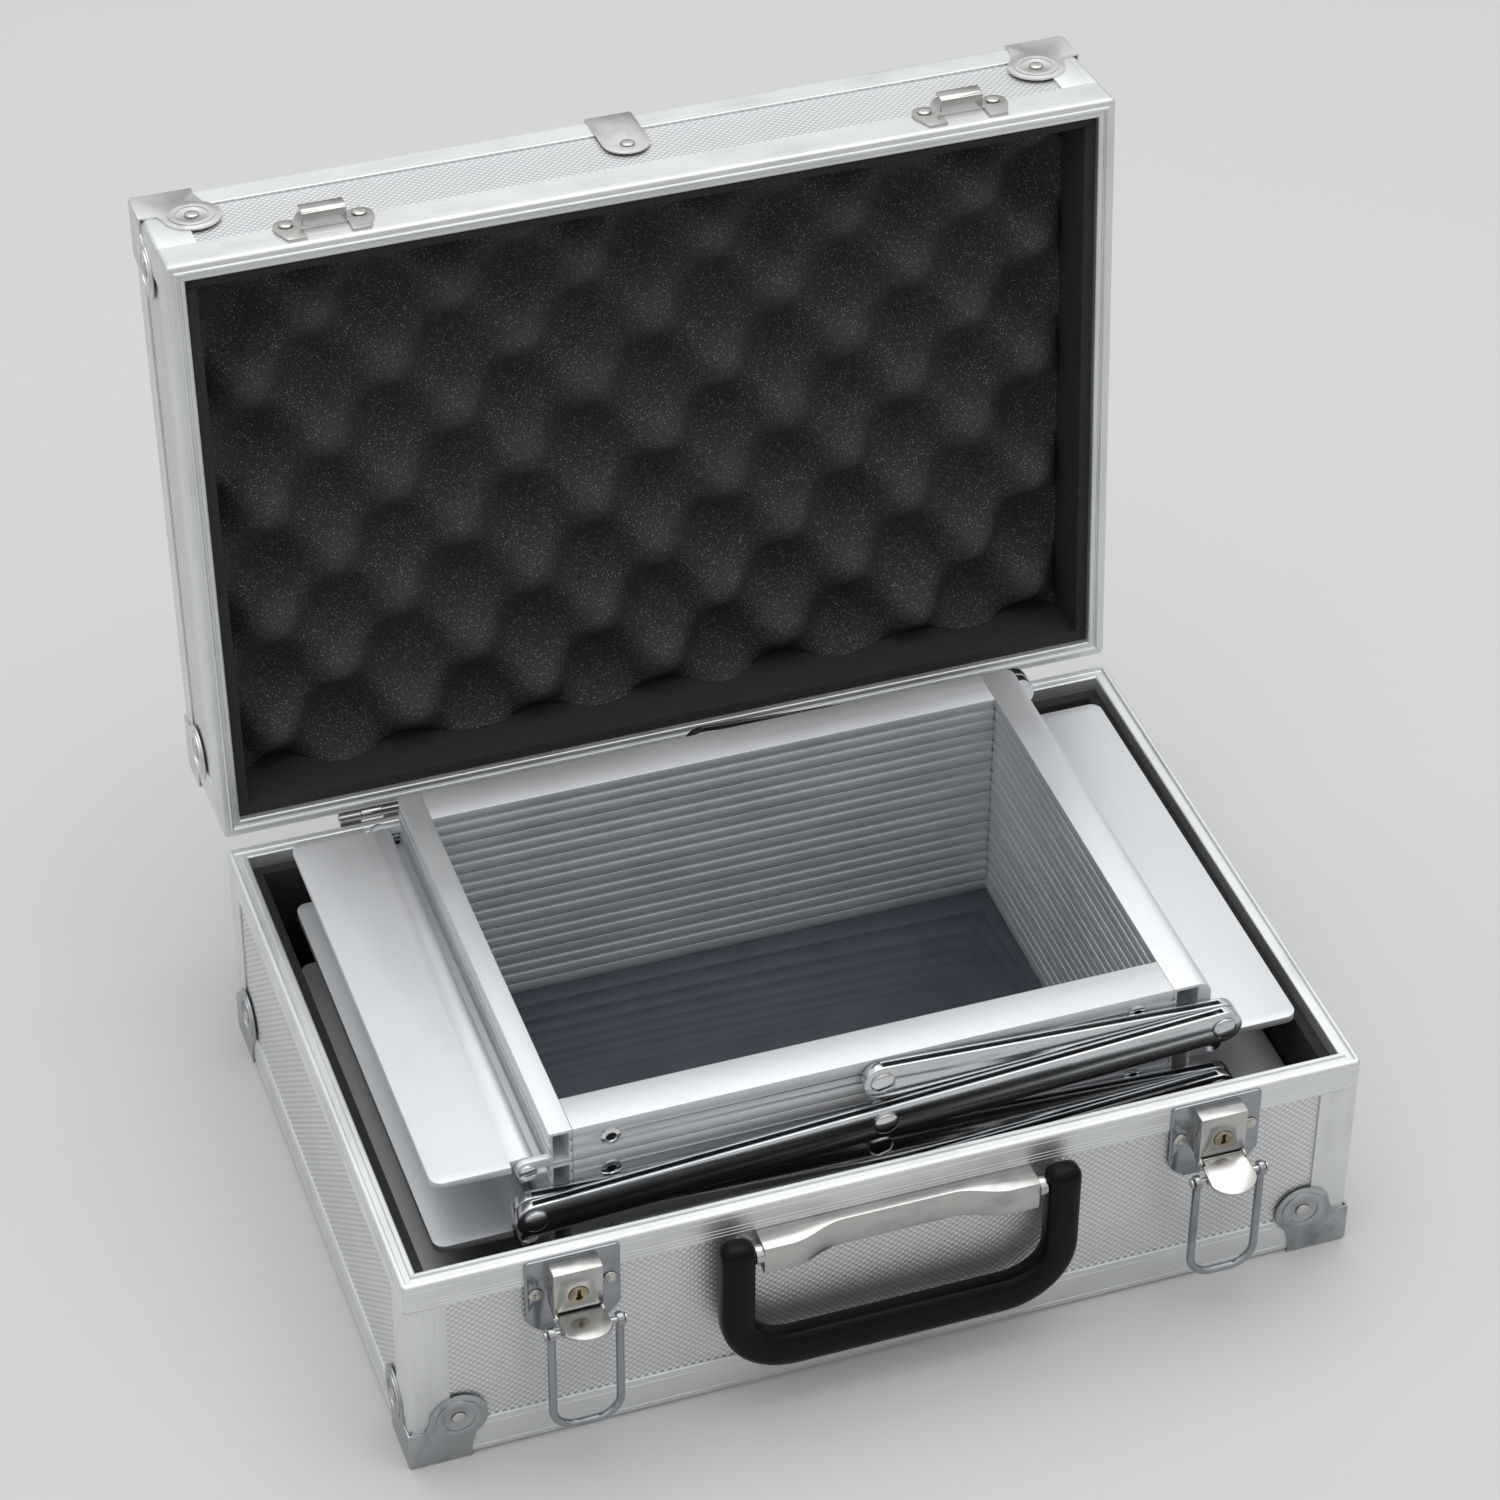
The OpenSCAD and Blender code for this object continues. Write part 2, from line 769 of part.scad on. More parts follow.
// The wire bail hanging from its axis
module bail() {
    straight = bail_l - bail_bend_r;
    difference() {
        union() {
            for (s = [-1, 1]) {
                along_x(s * bail_half_w - eye_w / 2, s * bail_half_w + eye_w / 2) circle(eye_r);
                translate([s * bail_half_w, 0, -straight]) cylinder(h = straight, r = bail_wire_r);
                translate([s * (bail_half_w - bail_bend_r), 0, -straight])
                    rotate([90, 0, 0])
                        rotate([0, 0, s > 0 ? -90 : 180])
                            rotate_extrude(angle = 90)
                                translate([bail_bend_r, 0]) circle(bail_wire_r);
            }
            along_x(bail_bend_r - bail_half_w, bail_half_w - bail_bend_r)
                translate([0, -bail_l]) circle(bail_wire_r);
        }
        along_x(-2 * bail_half_w, 2 * bail_half_w) circle(latch_pin_r + run_fit);
    }
}

module bail_left() {
    color(chrome) bail_pose(latch_left_x, lever_left_rest) bail();
}

module bail_right() {
    color(chrome) bail_pose(latch_right_x, lever_right_rest) bail();
}

// A lock cylinder with its key slot
module lock_cylinder() {
    proud = 0.5;
    depth = 5.5;
    translate([0, lever_y - proud, lock_z])
        into_front()
            difference() {
                cylinder(h = depth, r = lock_r);
                translate([-0.7, -2.6, -cut]) cube([1.4, 4, 3.5 + cut]);
                translate([0, 1.4, -cut]) cylinder(h = 3.5 + cut, r = 1.2);
            }
}

module lock_cylinder_left() {
    color(brass) placed() translate([latch_left_x, 0, 0]) lock_cylinder();
}

module lock_cylinder_right() {
    color(brass) placed() translate([latch_right_x, 0, 0]) lock_cylinder();
}

// Handle

// Front edge of the bracket seen from above, as a fraction of the wave from its ends to its middle
function wave(u) = u < 0.1 || u > 0.9 ? 0 : u > 0.3 && u < 0.7 ? 1 : (1 - cos(180 * (min(u, 1 - u) - 0.1) / 0.2)) / 2;

function bracket_edge(shift) = [for (i = [0 : 40])
    let (u = i / 40)
    [bracket_x0 + u * (bracket_x1 - bracket_x0), -bracket_d + bracket_wave * wave(u) + shift]];

module bracket_plan(back) {
    polygon(concat(bracket_edge(0), [[bracket_x1, back], [bracket_x0, back]]));
}

module handle_bracket() {
    flange_z = bracket_top - bracket_h;
    color(chrome)
        placed()
            difference() {
                union() {
                    translate([0, 0, bracket_top - plate_t]) linear_extrude(plate_t) bracket_plan(0);
                    translate([0, 0, flange_z])
                        linear_extrude(bracket_h - plate_t / 2)
                            polygon(concat(bracket_edge(0), [for (i = [40 : -1 : 0]) bracket_edge(plate_t)[i]]));
                    translate([bracket_x0 + 8, -plate_t, bracket_top - 12])
                        cube([bracket_x1 - bracket_x0 - 16, plate_t, 12]);
                    for (x = [bracket_x0, bracket_x1 - plate_t])
                        translate([x, -bracket_d, flange_z]) cube([plate_t, bracket_d, bracket_h - plate_t / 2]);
                }
                for (x = [bracket_x0, bracket_x1 - plate_t])
                    along_x(x - cut, x + plate_t + cut)
                        translate([-handle_out, handle_axis_z]) circle(handle_pin_r + press_fit);
                for (x = bracket_rivet_xs())
                    translate([x, -plate_t, bracket_rivet_z]) into_front() drill(2 * plate_t);
            }
}

module handle_pins() {
    inside = arm_w * 0.55;
    color(chrome)
        placed()
            for (s = [0, 1])
                translate([s * (2 * handle_x + handle_w), 0, 0])
                    mirror([s, 0, 0])
                        translate([0, -handle_out, handle_axis_z])
                            rotate([0, 90, 0]) {
                                translate([0, 0, handle_x + arm_w - inside])
                                    cylinder(h = inside + bracket_gap + plate_t, r = handle_pin_r);
                                translate([0, 0, handle_x + arm_w + 0.2])
                                    cylinder(h = bracket_gap - 0.2, r = handle_pin_r + 1.5);
                            }
}

// A ring of the grip's section: a rounded rectangle spanned by a half width and a half depth
grip_sides = 20;
function squircle(a) = let (c = cos(a), s = sin(a))
    [sign(c) * pow(abs(c), 0.55), sign(s) * pow(abs(s), 0.55)];
function grip_ring(mid, across, half, depth) = [for (i = [0 : grip_sides - 1])
    let (p = squircle(360 * i / grip_sides))
    [mid[0] + across[0] * half * p[0], grip_y + depth * p[1], mid[1] + across[1] * half * p[0]]];

// The left half of the grip's path, from the arm's upper end round the bend to the middle
arm_mid = handle_x + arm_w / 2;
arm_top = handle_axis_z + arm_over;
bend_x = handle_x + grip_bend_r;
bend_z = grip_z + grip_bend_r;
function arm_end(t) = grip_ring([arm_mid, arm_top - 4 * (1 - cos(t))], [1, 0],
    arm_w / 2 * (0.45 + 0.55 * sin(t)), grip_d / 2 * (0.35 + 0.65 * sin(t)));
function bend(a) = let (
    out = [bend_x - grip_bend_r * cos(a), bend_z - grip_bend_r * sin(a)],
    in = [bend_x - (grip_bend_r - arm_w) * cos(a), bend_z - (grip_bend_r - grip_h) * sin(a)],
    span = in - out)
    grip_ring((out + in) / 2, span / norm(span), norm(span) / 2, grip_d / 2);
half_grip = concat(
    [for (t = [0, 45, 90]) arm_end(t)],
    [for (i = [1 : 3]) grip_ring([arm_mid, arm_top - 4 - i * (arm_top - 4 - bend_z) / 4], [1, 0],
        arm_w / 2, grip_d / 2)],
    [for (a = [0 : 15 : 90]) bend(a)]);
grip_mirror = 2 * (handle_x + handle_w / 2);
function mirrored(ring) = [for (i = [0 : grip_sides - 1])
    let (p = ring[(grip_sides + grip_sides / 2 - i) % grip_sides])
    [grip_mirror - p[0], p[1], p[2]]];
function flip_across(ring) = [for (i = [0 : grip_sides - 1])
    ring[(grip_sides + grip_sides / 2 - i) % grip_sides]];
full_grip = concat(half_grip,
    [for (k = [len(half_grip) - 1 : -1 : 0]) flip_across(mirrored(half_grip[k]))]);

// A closed solid through rings of points
module lofted(rings) {
    n = len(rings[0]);
    last = len(rings) - 1;
    polyhedron(
        points = [for (r = rings) each r],
        faces = concat(
            [[for (i = [0 : n - 1]) i]],
            [for (k = [0 : last - 1], i = [0 : n - 1])
                [k * n + i, (k + 1) * n + i, (k + 1) * n + (i + 1) % n, k * n + (i + 1) % n]],
            [[for (i = [n - 1 : -1 : 0]) last * n + i]]));
}

module handle_grip() {
    inside = arm_w * 0.6;
    color(black_plastic)
        placed()
            difference() {
                lofted(full_grip);
                for (s = [0, 1])
                    translate([s * grip_mirror, 0, 0])
                        mirror([s, 0, 0])
                            translate([handle_x + arm_w - inside, -handle_out, handle_axis_z])
                                rotate([0, 90, 0])
                                    cylinder(h = inside + cut, r = handle_pin_r + run_fit);
            }
}

// Case hinges

// Knuckles and leaf of one side; side -1 hangs from the axis and side 1 stands on it
module hinge_leaf(side) {
    gap = 0.3;
    middle = hinge_w / 3;
    spans = side < 0 ? [[0, middle - gap / 2], [2 * middle + gap / 2, hinge_w]]
        : [[middle + gap / 2, 2 * middle - gap / 2]];
    clear = knuckle_r + 0.5;
    bridge = 0.4;
    difference() {
        union() {
            translate([0, -hinge_out, side < 0 ? -leaf_h : clear])
                cube([hinge_w, leaf_t, leaf_h - clear]);
            for (s = spans) {
                along_x(s[0], s[1]) circle(knuckle_r);
                translate([s[0], -hinge_out + bridge, side < 0 ? -clear - 2 : 0])
                    cube([s[1] - s[0], leaf_t, clear + 2]);
            }
        }
        along_x(-cut, hinge_w + cut) circle(hinge_pin_r + (side < 0 ? press_fit : run_fit));
    }
}

module hinge_base_leaves() {
    color(chrome)
        placed()
            difference() {
                for (x = [hinge_left_x, hinge_right_x])
                    translate([x, hinge_y, hinge_z]) hinge_leaf(-1);
                hinge_rivet_places(-1) translate([0, 0, -leaf_t]) drill(2 * leaf_t);
            }
}

module hinge_lid_leaves() {
    color(chrome)
        lid_pose()
            difference() {
                for (x = [hinge_left_x, hinge_right_x])
                    translate([x, hinge_y, hinge_z - lid_z]) hinge_leaf(1);
                hinge_rivet_places(1) translate([0, 0, -leaf_t]) drill(2 * leaf_t);
            }
}

module hinge_pins() {
    color(chrome)
        placed()
            for (x = [hinge_left_x, hinge_right_x])
                translate([x, hinge_y, hinge_z])
                    along_x(-0.4, hinge_w + 0.4) circle(hinge_pin_r);
}

// Lid

// Drills for all rivets of the lid's walls and top
module lid_drills() {
    translate([0, 0, lid_h])
        mirror([0, 0, 1])
            four_corners() {
                on_cap_walls() drill(rivet_reach);
                on_cap_end() drill(rivet_reach);
            }
    for (x = latch_xs, s = [-1, 1])
        translate([x + s * plate_rivet_x, 0, catch_rivet_z]) into_front() drill(rivet_reach);
    translate([case_w / 2, 0, clip_rivet_z]) into_front() drill(rivet_reach);
    hinge_rivet_places(1) drill(rivet_reach);
}

clip_w = 20;
clip_bottom = 26;
clip_rivet_z = 34;
clip_back = 22;

module lid_top_panel() {
    color(skin)
        lid_pose()
            difference() {
                translate([profile_t, profile_t, lid_board_z])
                    cube([case_w - 2 * profile_t, case_d - 2 * profile_t, board_t]);
                lid_drills();
            }
}

module lid_wall_panels() {
    color(skin)
        lid_pose()
            difference() {
                board_ring(profile_t, board_t, rim_top_t, lid_board_z);
                lid_drills();
            }
}

module lid_rim_section() {
    difference() {
        square([profile_t, lid_band_h]);
        translate([-cut, lid_band_h - line_z]) square([cut + line_d, line_w]);
    }
    square([rim_w, rim_top_t]);
    translate([board_in, 0]) square([rim_w - board_in, rim_flange_h]);
    translate([(rim_w - bead_w) / 2, -bead_h]) square([bead_w, bead_h + rim_top_t / 2]);
}

module lid_rim_frame() {
    color(metal)
        lid_pose()
            difference() {
                mitred_frame(rim_w, -bead_h, lid_band_h) lid_rim_section();
                lid_drills();
            }
}

module lid_edging_section() {
    translate([0, lid_h - lid_edging_h]) square([profile_t, lid_edging_h]);
    translate([0, lid_h - profile_t]) square([base_edging_h, profile_t]);
}

module lid_top_edging() {
    color(metal)
        lid_pose()
            difference() {
                mitred_frame(base_edging_h, lid_h - lid_edging_h, lid_h) lid_edging_section();
                lid_drills();
            }
}

module lid_corner_posts() {
    color(metal)
        lid_pose()
            difference() {
                corner_posts(lid_band_h, lid_h - lid_edging_h);
                lid_drills();
            }
}

module lid_corner_caps() {
    color(chrome)
        lid_pose()
            translate([0, 0, lid_h])
                mirror([0, 0, 1])
                    four_corners()
                        corner_cap(false);
}

// A strap over the middle of the lid's front edge, with a round lower end
module lid_middle_clip() {
    x0 = (case_w - clip_w) / 2;
    color(chrome)
        lid_pose() {
            along_y(-cap_t, 0)
                difference() {
                    union() {
                        translate([x0, clip_bottom + clip_w / 2])
                            square([clip_w, lid_h + cap_t - clip_bottom - clip_w / 2]);
                        translate([case_w / 2, clip_bottom + clip_w / 2]) circle(clip_w / 2);
                    }
                    translate([case_w / 2, clip_rivet_z]) circle(rivet_r + press_fit);
                }
            translate([x0, -cap_t, lid_h]) cube([clip_w, clip_back, cap_t]);
        }
}

// The catch that a bail hooks over: a winged plate with a hook bent out of its window
module lid_catch() {
    wing = 20.5;
    foot = 17;
    wing_r = wing - plate_rivet_x;
    difference() {
        along_y(-plate_t, 0) {
            polygon([[-foot, catch_bottom], [foot, catch_bottom], [wing, catch_rivet_z - 3],
                [wing - 0.3, catch_rivet_z], [-wing + 0.3, catch_rivet_z], [-wing, catch_rivet_z - 3]]);
            for (s = [-1, 1])
                translate([s * plate_rivet_x, catch_rivet_z - 1]) circle(wing_r);
            translate([0, catch_dome_top - catch_dome_r]) circle(catch_dome_r);
        }
        translate([-hook_w / 2, -plate_t - cut, catch_bottom - cut])
            cube([hook_w, plate_t + 2 * cut, hook_z - catch_bottom + cut]);
        for (s = [-1, 1])
            translate([s * plate_rivet_x, -plate_t, catch_rivet_z]) into_front() drill(2 * plate_t);
    }
    along_x(-hook_w / 2, hook_w / 2) {
        translate([-hook_d + plate_t, hook_z]) square([hook_d - plate_t, plate_t]);
        difference() {
            translate([-hook_d + 2 * plate_t, hook_z + 2 * plate_t]) circle(2 * plate_t);
            translate([-hook_d + 2 * plate_t, hook_z + 2 * plate_t]) circle(plate_t);
            translate([-hook_d + 2 * plate_t, hook_z]) square([10, 10]);
            translate([-hook_d, hook_z + 2 * plate_t]) square([10, 10]);
        }
        translate([-hook_d, hook_z + 2 * plate_t]) square([plate_t, hook_top - hook_z - 2 * plate_t]);
    }
}

module lid_catches() {
    color(chrome)
        lid_pose()
            for (x = latch_xs)
                translate([x, 0, 0]) lid_catch();
}

module lid_rivets() {
    color(chrome)
        lid_pose() {
            translate([0, 0, lid_h])
                mirror([0, 0, 1])
                    four_corners() {
                        on_cap_walls() translate([0, 0, -cap_t]) rivet(cap_t + rivet_reach);
                        on_cap_end() translate([0, 0, -cap_t]) rivet(cap_t + rivet_reach);
                    }
            for (x = latch_xs, s = [-1, 1])
                translate([x + s * plate_rivet_x, -plate_t, catch_rivet_z])
                    into_front() rivet(plate_t + rivet_reach);
            translate([case_w / 2, -cap_t, clip_rivet_z]) into_front() rivet(cap_t + rivet_reach);
            hinge_rivet_places(1) translate([0, 0, -leaf_t]) rivet(leaf_t + rivet_reach);
        }
}

module lid_wall_foam() {
    foam_start = 3;
    color(foam)
        lid_pose()
            difference() {
                board_ring(board_in, inner_face - board_in, foam_start, lid_board_z);
                rim_flange_space(foam_start - cut, rim_flange_h);
            }
}

// The egg-crate foam as one height field between the walls' foam
crate_margin = inner_face + 0.1;
crate_nx = 40;
crate_ny = 26;
crate_first_x = 33.5;
crate_first_y = 42.3;
function crate_x(i) = crate_margin + i * (case_w - 2 * crate_margin) / crate_nx;
function crate_y(j) = crate_margin + j * (case_d - 2 * crate_margin) / crate_ny;
function crate_z(x, y) = let (
    wave_x = cos(180 * (x - crate_first_x) / crate_step),
    wave_y = cos(180 * (y - crate_first_y) / crate_step),
    rise = (1 - wave_x * wave_y) / 2)
    hollow_z + (crest_z - hollow_z) * rise;
function crate_at(i, j) = i * (crate_ny + 1) + j;

module lid_egg_crate_foam() {
    count = (crate_nx + 1) * (crate_ny + 1);
    field = [for (i = [0 : crate_nx], j = [0 : crate_ny])
        [crate_x(i), crate_y(j), crate_z(crate_x(i), crate_y(j))]];
    back = [for (i = [0, crate_nx], j = [0, crate_ny]) [crate_x(i), crate_y(j), lid_board_z]];
    cells = [for (i = [0 : crate_nx - 1], j = [0 : crate_ny - 1])
        [crate_at(i, j), crate_at(i + 1, j), crate_at(i + 1, j + 1), crate_at(i, j + 1)]];
    halves = [for (c = cells) each [[c[0], c[1], c[2]], [c[0], c[2], c[3]]]];
    color(foam)
        lid_pose()
            polyhedron(
                points = concat(field, back),
                faces = concat(halves, [
                    [count, count + 1, count + 3, count + 2],
                    concat([count + 1, count], [for (j = [0 : crate_ny]) crate_at(0, j)]),
                    concat([count + 2, count + 3], [for (j = [crate_ny : -1 : 0]) crate_at(crate_nx, j)]),
                    concat([count, count + 2], [for (i = [crate_nx : -1 : 0]) crate_at(i, 0)]),
                    concat([count + 3, count + 1], [for (i = [0 : crate_nx]) crate_at(i, crate_ny)])]));
}

// Stand

function frame_z(k) = stand_z + pitch * (k - 1) + frame_gap / 2;
function middle_z(k) = stand_z + pitch * (k - 0.5);

// Side of the hinge on top of frame k: 1 is right and -1 is left
function top_side(k) = k % 2 == 1 ? 1 : -1;

// Places a part over the middle of the stand
module in_stand() {
    placed() translate([stand_x, 0, 0]) children();
}

// A hollow bar's section with two fine grooves on each side
module bar_section(w) {
    difference() {
        square([w, frame_h]);
        translate([bar_wall, bar_wall]) square([w - 2 * bar_wall, frame_h - 2 * bar_wall]);
        rib_grooves(w);
    }
}

module rib_grooves(w) {
    for (v = [1 / 3, 2 / 3], u = [-cut, w - rib_depth])
        translate([u, v * frame_h - 0.6]) square([rib_depth + cut, 1.2]);
}

// A side bar, drawn for the right side
module side_bar() {
    along_y(frame_y0, frame_y1) translate([opening_half, 0]) bar_section(side_bar_w);
}

// The top frame's free side bar, with a round outer edge
module free_bar() {
    w = free_bar_out - opening_half;
    along_y(frame_y0, frame_y1)
        translate([opening_half, 0])
            difference() {
                union() {
                    square([w - bullnose_r, frame_h]);
                    translate([0, bullnose_r]) square([w, frame_h - 2 * bullnose_r]);
                    for (v = [bullnose_r, frame_h - bullnose_r])
                        translate([w - bullnose_r, v]) circle(bullnose_r);
                }
                translate([bar_wall, bar_wall])
                    square([w - bullnose_r - bar_wall, frame_h - 2 * bar_wall]);
                for (v = [1 / 3, 2 / 3])
                    translate([-cut, v * frame_h - 0.6]) square([rib_depth + cut, 1.2]);
            }
}

// A shelf seen from above, cut back at its ends where the next frame's ears swing
module shelf_plan() {
    root = node_x + bead_r + 1.7;
    r = shelf_corner_r;
    translate([node_x, bead_y0]) square([root - node_x + cut, bead_y1 - bead_y0]);
    translate([root, frame_y0]) square([stand_half - r - root, frame_y1 - frame_y0]);
    translate([root, frame_y0 + r]) square([stand_half - root, frame_y1 - frame_y0 - 2 * r]);
    for (y = [frame_y0 + r, frame_y1 - r])
        translate([stand_half - r, y]) circle(r);
}

// The shelf beside a frame and the hinge bead that carries it, drawn for the right side
module shelf_and_bead() {
    axis_z = pitch - frame_gap / 2;
    difference() {
        union() {
            translate([0, 0, axis_z + shelf_rise - shelf_t]) linear_extrude(shelf_t) shelf_plan();
            along_y(bead_y0, bead_y1) {
                translate([node_x, axis_z]) circle(bead_r);
                translate([node_x - 2, axis_z - web_drop - 0.5]) square([4, web_drop]);
                translate([bar_out - 1, axis_z - web_drop - shelf_t])
                    square([hinge_offset + 3, shelf_t]);
            }
        }
        along_y(bead_y0 - cut, bead_y1 + cut) translate([node_x, axis_z]) circle(pin_r + run_fit);
    }
}

// Two ears that reach out from the bar's ends to the hinge axis below, drawn for the right side
module hinge_ears() {
    axis_z = -frame_gap / 2;
    for (y = [frame_y0, frame_y1 - ear_t])
        along_y(y, y + ear_t)
            difference() {
                union() {
                    translate([node_x, axis_z]) circle(bead_r);
                    polygon([[bar_out - 1, 0], [node_x, axis_z], [node_x, bead_r + axis_z],
                        [bar_out - 1, bead_r + axis_z]]);
                }
                translate([node_x, axis_z]) circle(pin_r + press_fit);
            }
}

// A front or back bar, drilled for its screws and its link's bolt
module cross_bar(k) {
    half = opening_half - seam;
    difference() {
        along_x(-half, half) translate([frame_y0, 0]) bar_section(cross_bar_w);
        for (s = [-1, 1])
            translate([s * screw_x, frame_y0, frame_h / 2]) into_front() drill(2 * bar_wall, screw_r);
        if (k > 1)
            translate([0, frame_y0, frame_h / 2]) into_front() drill(2 * bar_wall, pin_r);
    }
}

// Repeats a front piece at the back, mirrored about the middle of the frames
module front_and_back() {
    for (m = [0, 1])
        translate([0, m * (frame_y0 + frame_y1), 0]) mirror([0, m, 0]) children();
}

module stand_frame(k) {
    side = top_side(k);
    color(metal)
        in_stand()
            translate([0, 0, frame_z(k)]) {
                front_and_back() cross_bar(k);
                mirror([side > 0 ? 0 : 1, 0, 0])
                    if (k < frame_count)
                        union() {
                            side_bar();
                            shelf_and_bead();
                        }
                    else
                        free_bar();
                mirror([side > 0 ? 1 : 0, 0, 0])
                    union() {
                        side_bar();
                        if (k > 1) hinge_ears();
                    }
            }
}

// A pressed channel, open at the top, along X with its middle at the origin and its face at Y = 0
module link_channel(x0, x1, bores) {
    r = link_h / 2;
    difference() {
        along_y(-link_d, 0) {
            for (x = [x0, x1]) translate([x, 0]) circle(r);
            translate([x0, -r]) square([x1 - x0, link_h]);
        }
        along_y(-link_d + link_t, -link_t) {
            for (x = [x0, x1]) translate([x, 0]) circle(r - link_t);
            translate([x0, -r + link_t]) square([x1 - x0, link_h]);
        }
        for (b = bores)
            along_y(-link_d - cut, cut) translate([b[0], 0]) circle(pin_r + b[1]);
    }
}

// Even links lie in the outer plane and odd ones in the inner plane, and each is a pair
module link(k) {
    even = k % 2 == 0;
    plane = even ? outer_plane : link_gap;
    half = link_len / 2;
    x0 = k == frame_count ? 0 : -half;
    end_fit = even ? press_fit : run_fit;
    color(chrome)
        in_stand()
            front_and_back()
                translate([0, frame_y0 - plane, middle_z(k)])
                    rotate([0, even ? -link_tilt : link_tilt, 0]) {
                        link_channel(x0, half,
                            concat([[0, run_fit], [half, end_fit]], k == frame_count ? [] : [[-half, end_fit]]));
                        if (even)
                            for (x = [-half, half]) {
                                reach = k == 2 && x < 0 ? 0 : link_d + plane_gap;
                                translate([x, -link_d - bolt_head_h - 0.1, 0])
                                    into_front() bolt(link_d + 0.1 + reach);
                            }
                    }
}

// A dome-headed bolt, head first along +Z
module bolt(shank) {
    translate([0, 0, bolt_head_h]) cylinder(h = shank, r = pin_r);
    cylinder(h = bolt_head_h / 2, r1 = 0.7 * bolt_head_r, r2 = bolt_head_r);
    translate([0, 0, bolt_head_h / 2]) cylinder(h = bolt_head_h / 2, r = bolt_head_r);
}

// Screws, the hinge pin below and the link's bolts of one frame
module fittings(k) {
    plane = k % 2 == 0 ? outer_plane : link_gap;
    washer = 0.1;
    color(chrome)
        in_stand()
            translate([0, 0, frame_z(k)]) {
                front_and_back() {
                    for (s = [-1, 1])
                        translate([s * screw_x, frame_y0, frame_h / 2])
                            into_front() rivet(screw_l, screw_head_r, screw_head_h);
                    if (k > 1)
                        translate([0, frame_y0 - plane - link_d - washer - bolt_head_h, frame_h / 2])
                            into_front() {
                                bolt(washer + link_d + plane + bolt_grip);
                                translate([0, 0, bolt_head_h + washer + link_d + washer])
                                    cylinder(h = plane - washer, r = 4);
                            }
                }
                if (k > 1)
                    mirror([top_side(k) > 0 ? 1 : 0, 0, 0])
                        translate([node_x, 0, -frame_gap / 2]) {
                            along_y(frame_y0 - 1, frame_y1 + 1) circle(pin_r);
                            for (y = [frame_y0 - pin_cap_t, frame_y1])
                                along_y(y, y + pin_cap_t) circle(pin_cap_r);
                        }
            }
}

module stand_floor_panel() {
    gap = 0.1;
    color(dark_panel)
        in_stand()
            translate([-opening_half + gap, frame_y0 + cross_bar_w + gap, frame_z(1) + floor_panel_z])
                cube([2 * (opening_half - gap), frame_y1 - frame_y0 - 2 * (cross_bar_w + gap), floor_panel_t]);
}

base_bottom_panel();
base_wall_panels();
base_rim_frame();
base_bottom_edging();
base_corner_posts();
base_corner_caps();
base_rivets();
base_wall_foam();
base_floor_foam();
latch_plates();
latch_housings();
lever_pins();
handle_bracket();
handle_pins();
hinge_base_leaves();
hinge_pins();
lever_left();
lever_right();
bail_pins_left();
bail_pins_right();
bail_left();
bail_right();
lock_cylinder_left();
lock_cylinder_right();
handle_grip();
lid_top_panel();
lid_wall_panels();
lid_rim_frame();
lid_top_edging();
lid_corner_posts();
lid_corner_caps();
lid_middle_clip();
lid_catches();
lid_rivets();
lid_wall_foam();
lid_egg_crate_foam();
hinge_lid_leaves();
stand_frame(1);  // frame_1
stand_frame(2);  // frame_2
stand_frame(3);  // frame_3
stand_frame(4);  // frame_4
stand_frame(5);  // frame_5
stand_frame(6);  // frame_6
stand_frame(7);  // frame_7
link(2);  // link_2
link(3);  // link_3
link(4);  // link_4
link(5);  // link_5
link(6);  // link_6
link(7);  // link_7
stand_floor_panel();
fittings(1);  // fittings_1
fittings(2);  // fittings_2
fittings(3);  // fittings_3
fittings(4);  // fittings_4
fittings(5);  // fittings_5
fittings(6);  // fittings_6
fittings(7);  // fittings_7
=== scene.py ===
# %% [markdown]
# # An open aluminium case with a folding brochure stand
# The real case is board covered with embossed aluminium sheet, held by extruded profiles and
# pressed steel corners. A dark foam lining protects a zig-zag stand of hinged frames.
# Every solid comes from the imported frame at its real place. This script gives each one its
# finish, and remakes the pieces whose pressed, moulded or soft shapes the solids only hint at.

# %% Load the frame
import json
import math

import bmesh
import bpy
import numpy as np
from mathutils import Matrix, Vector

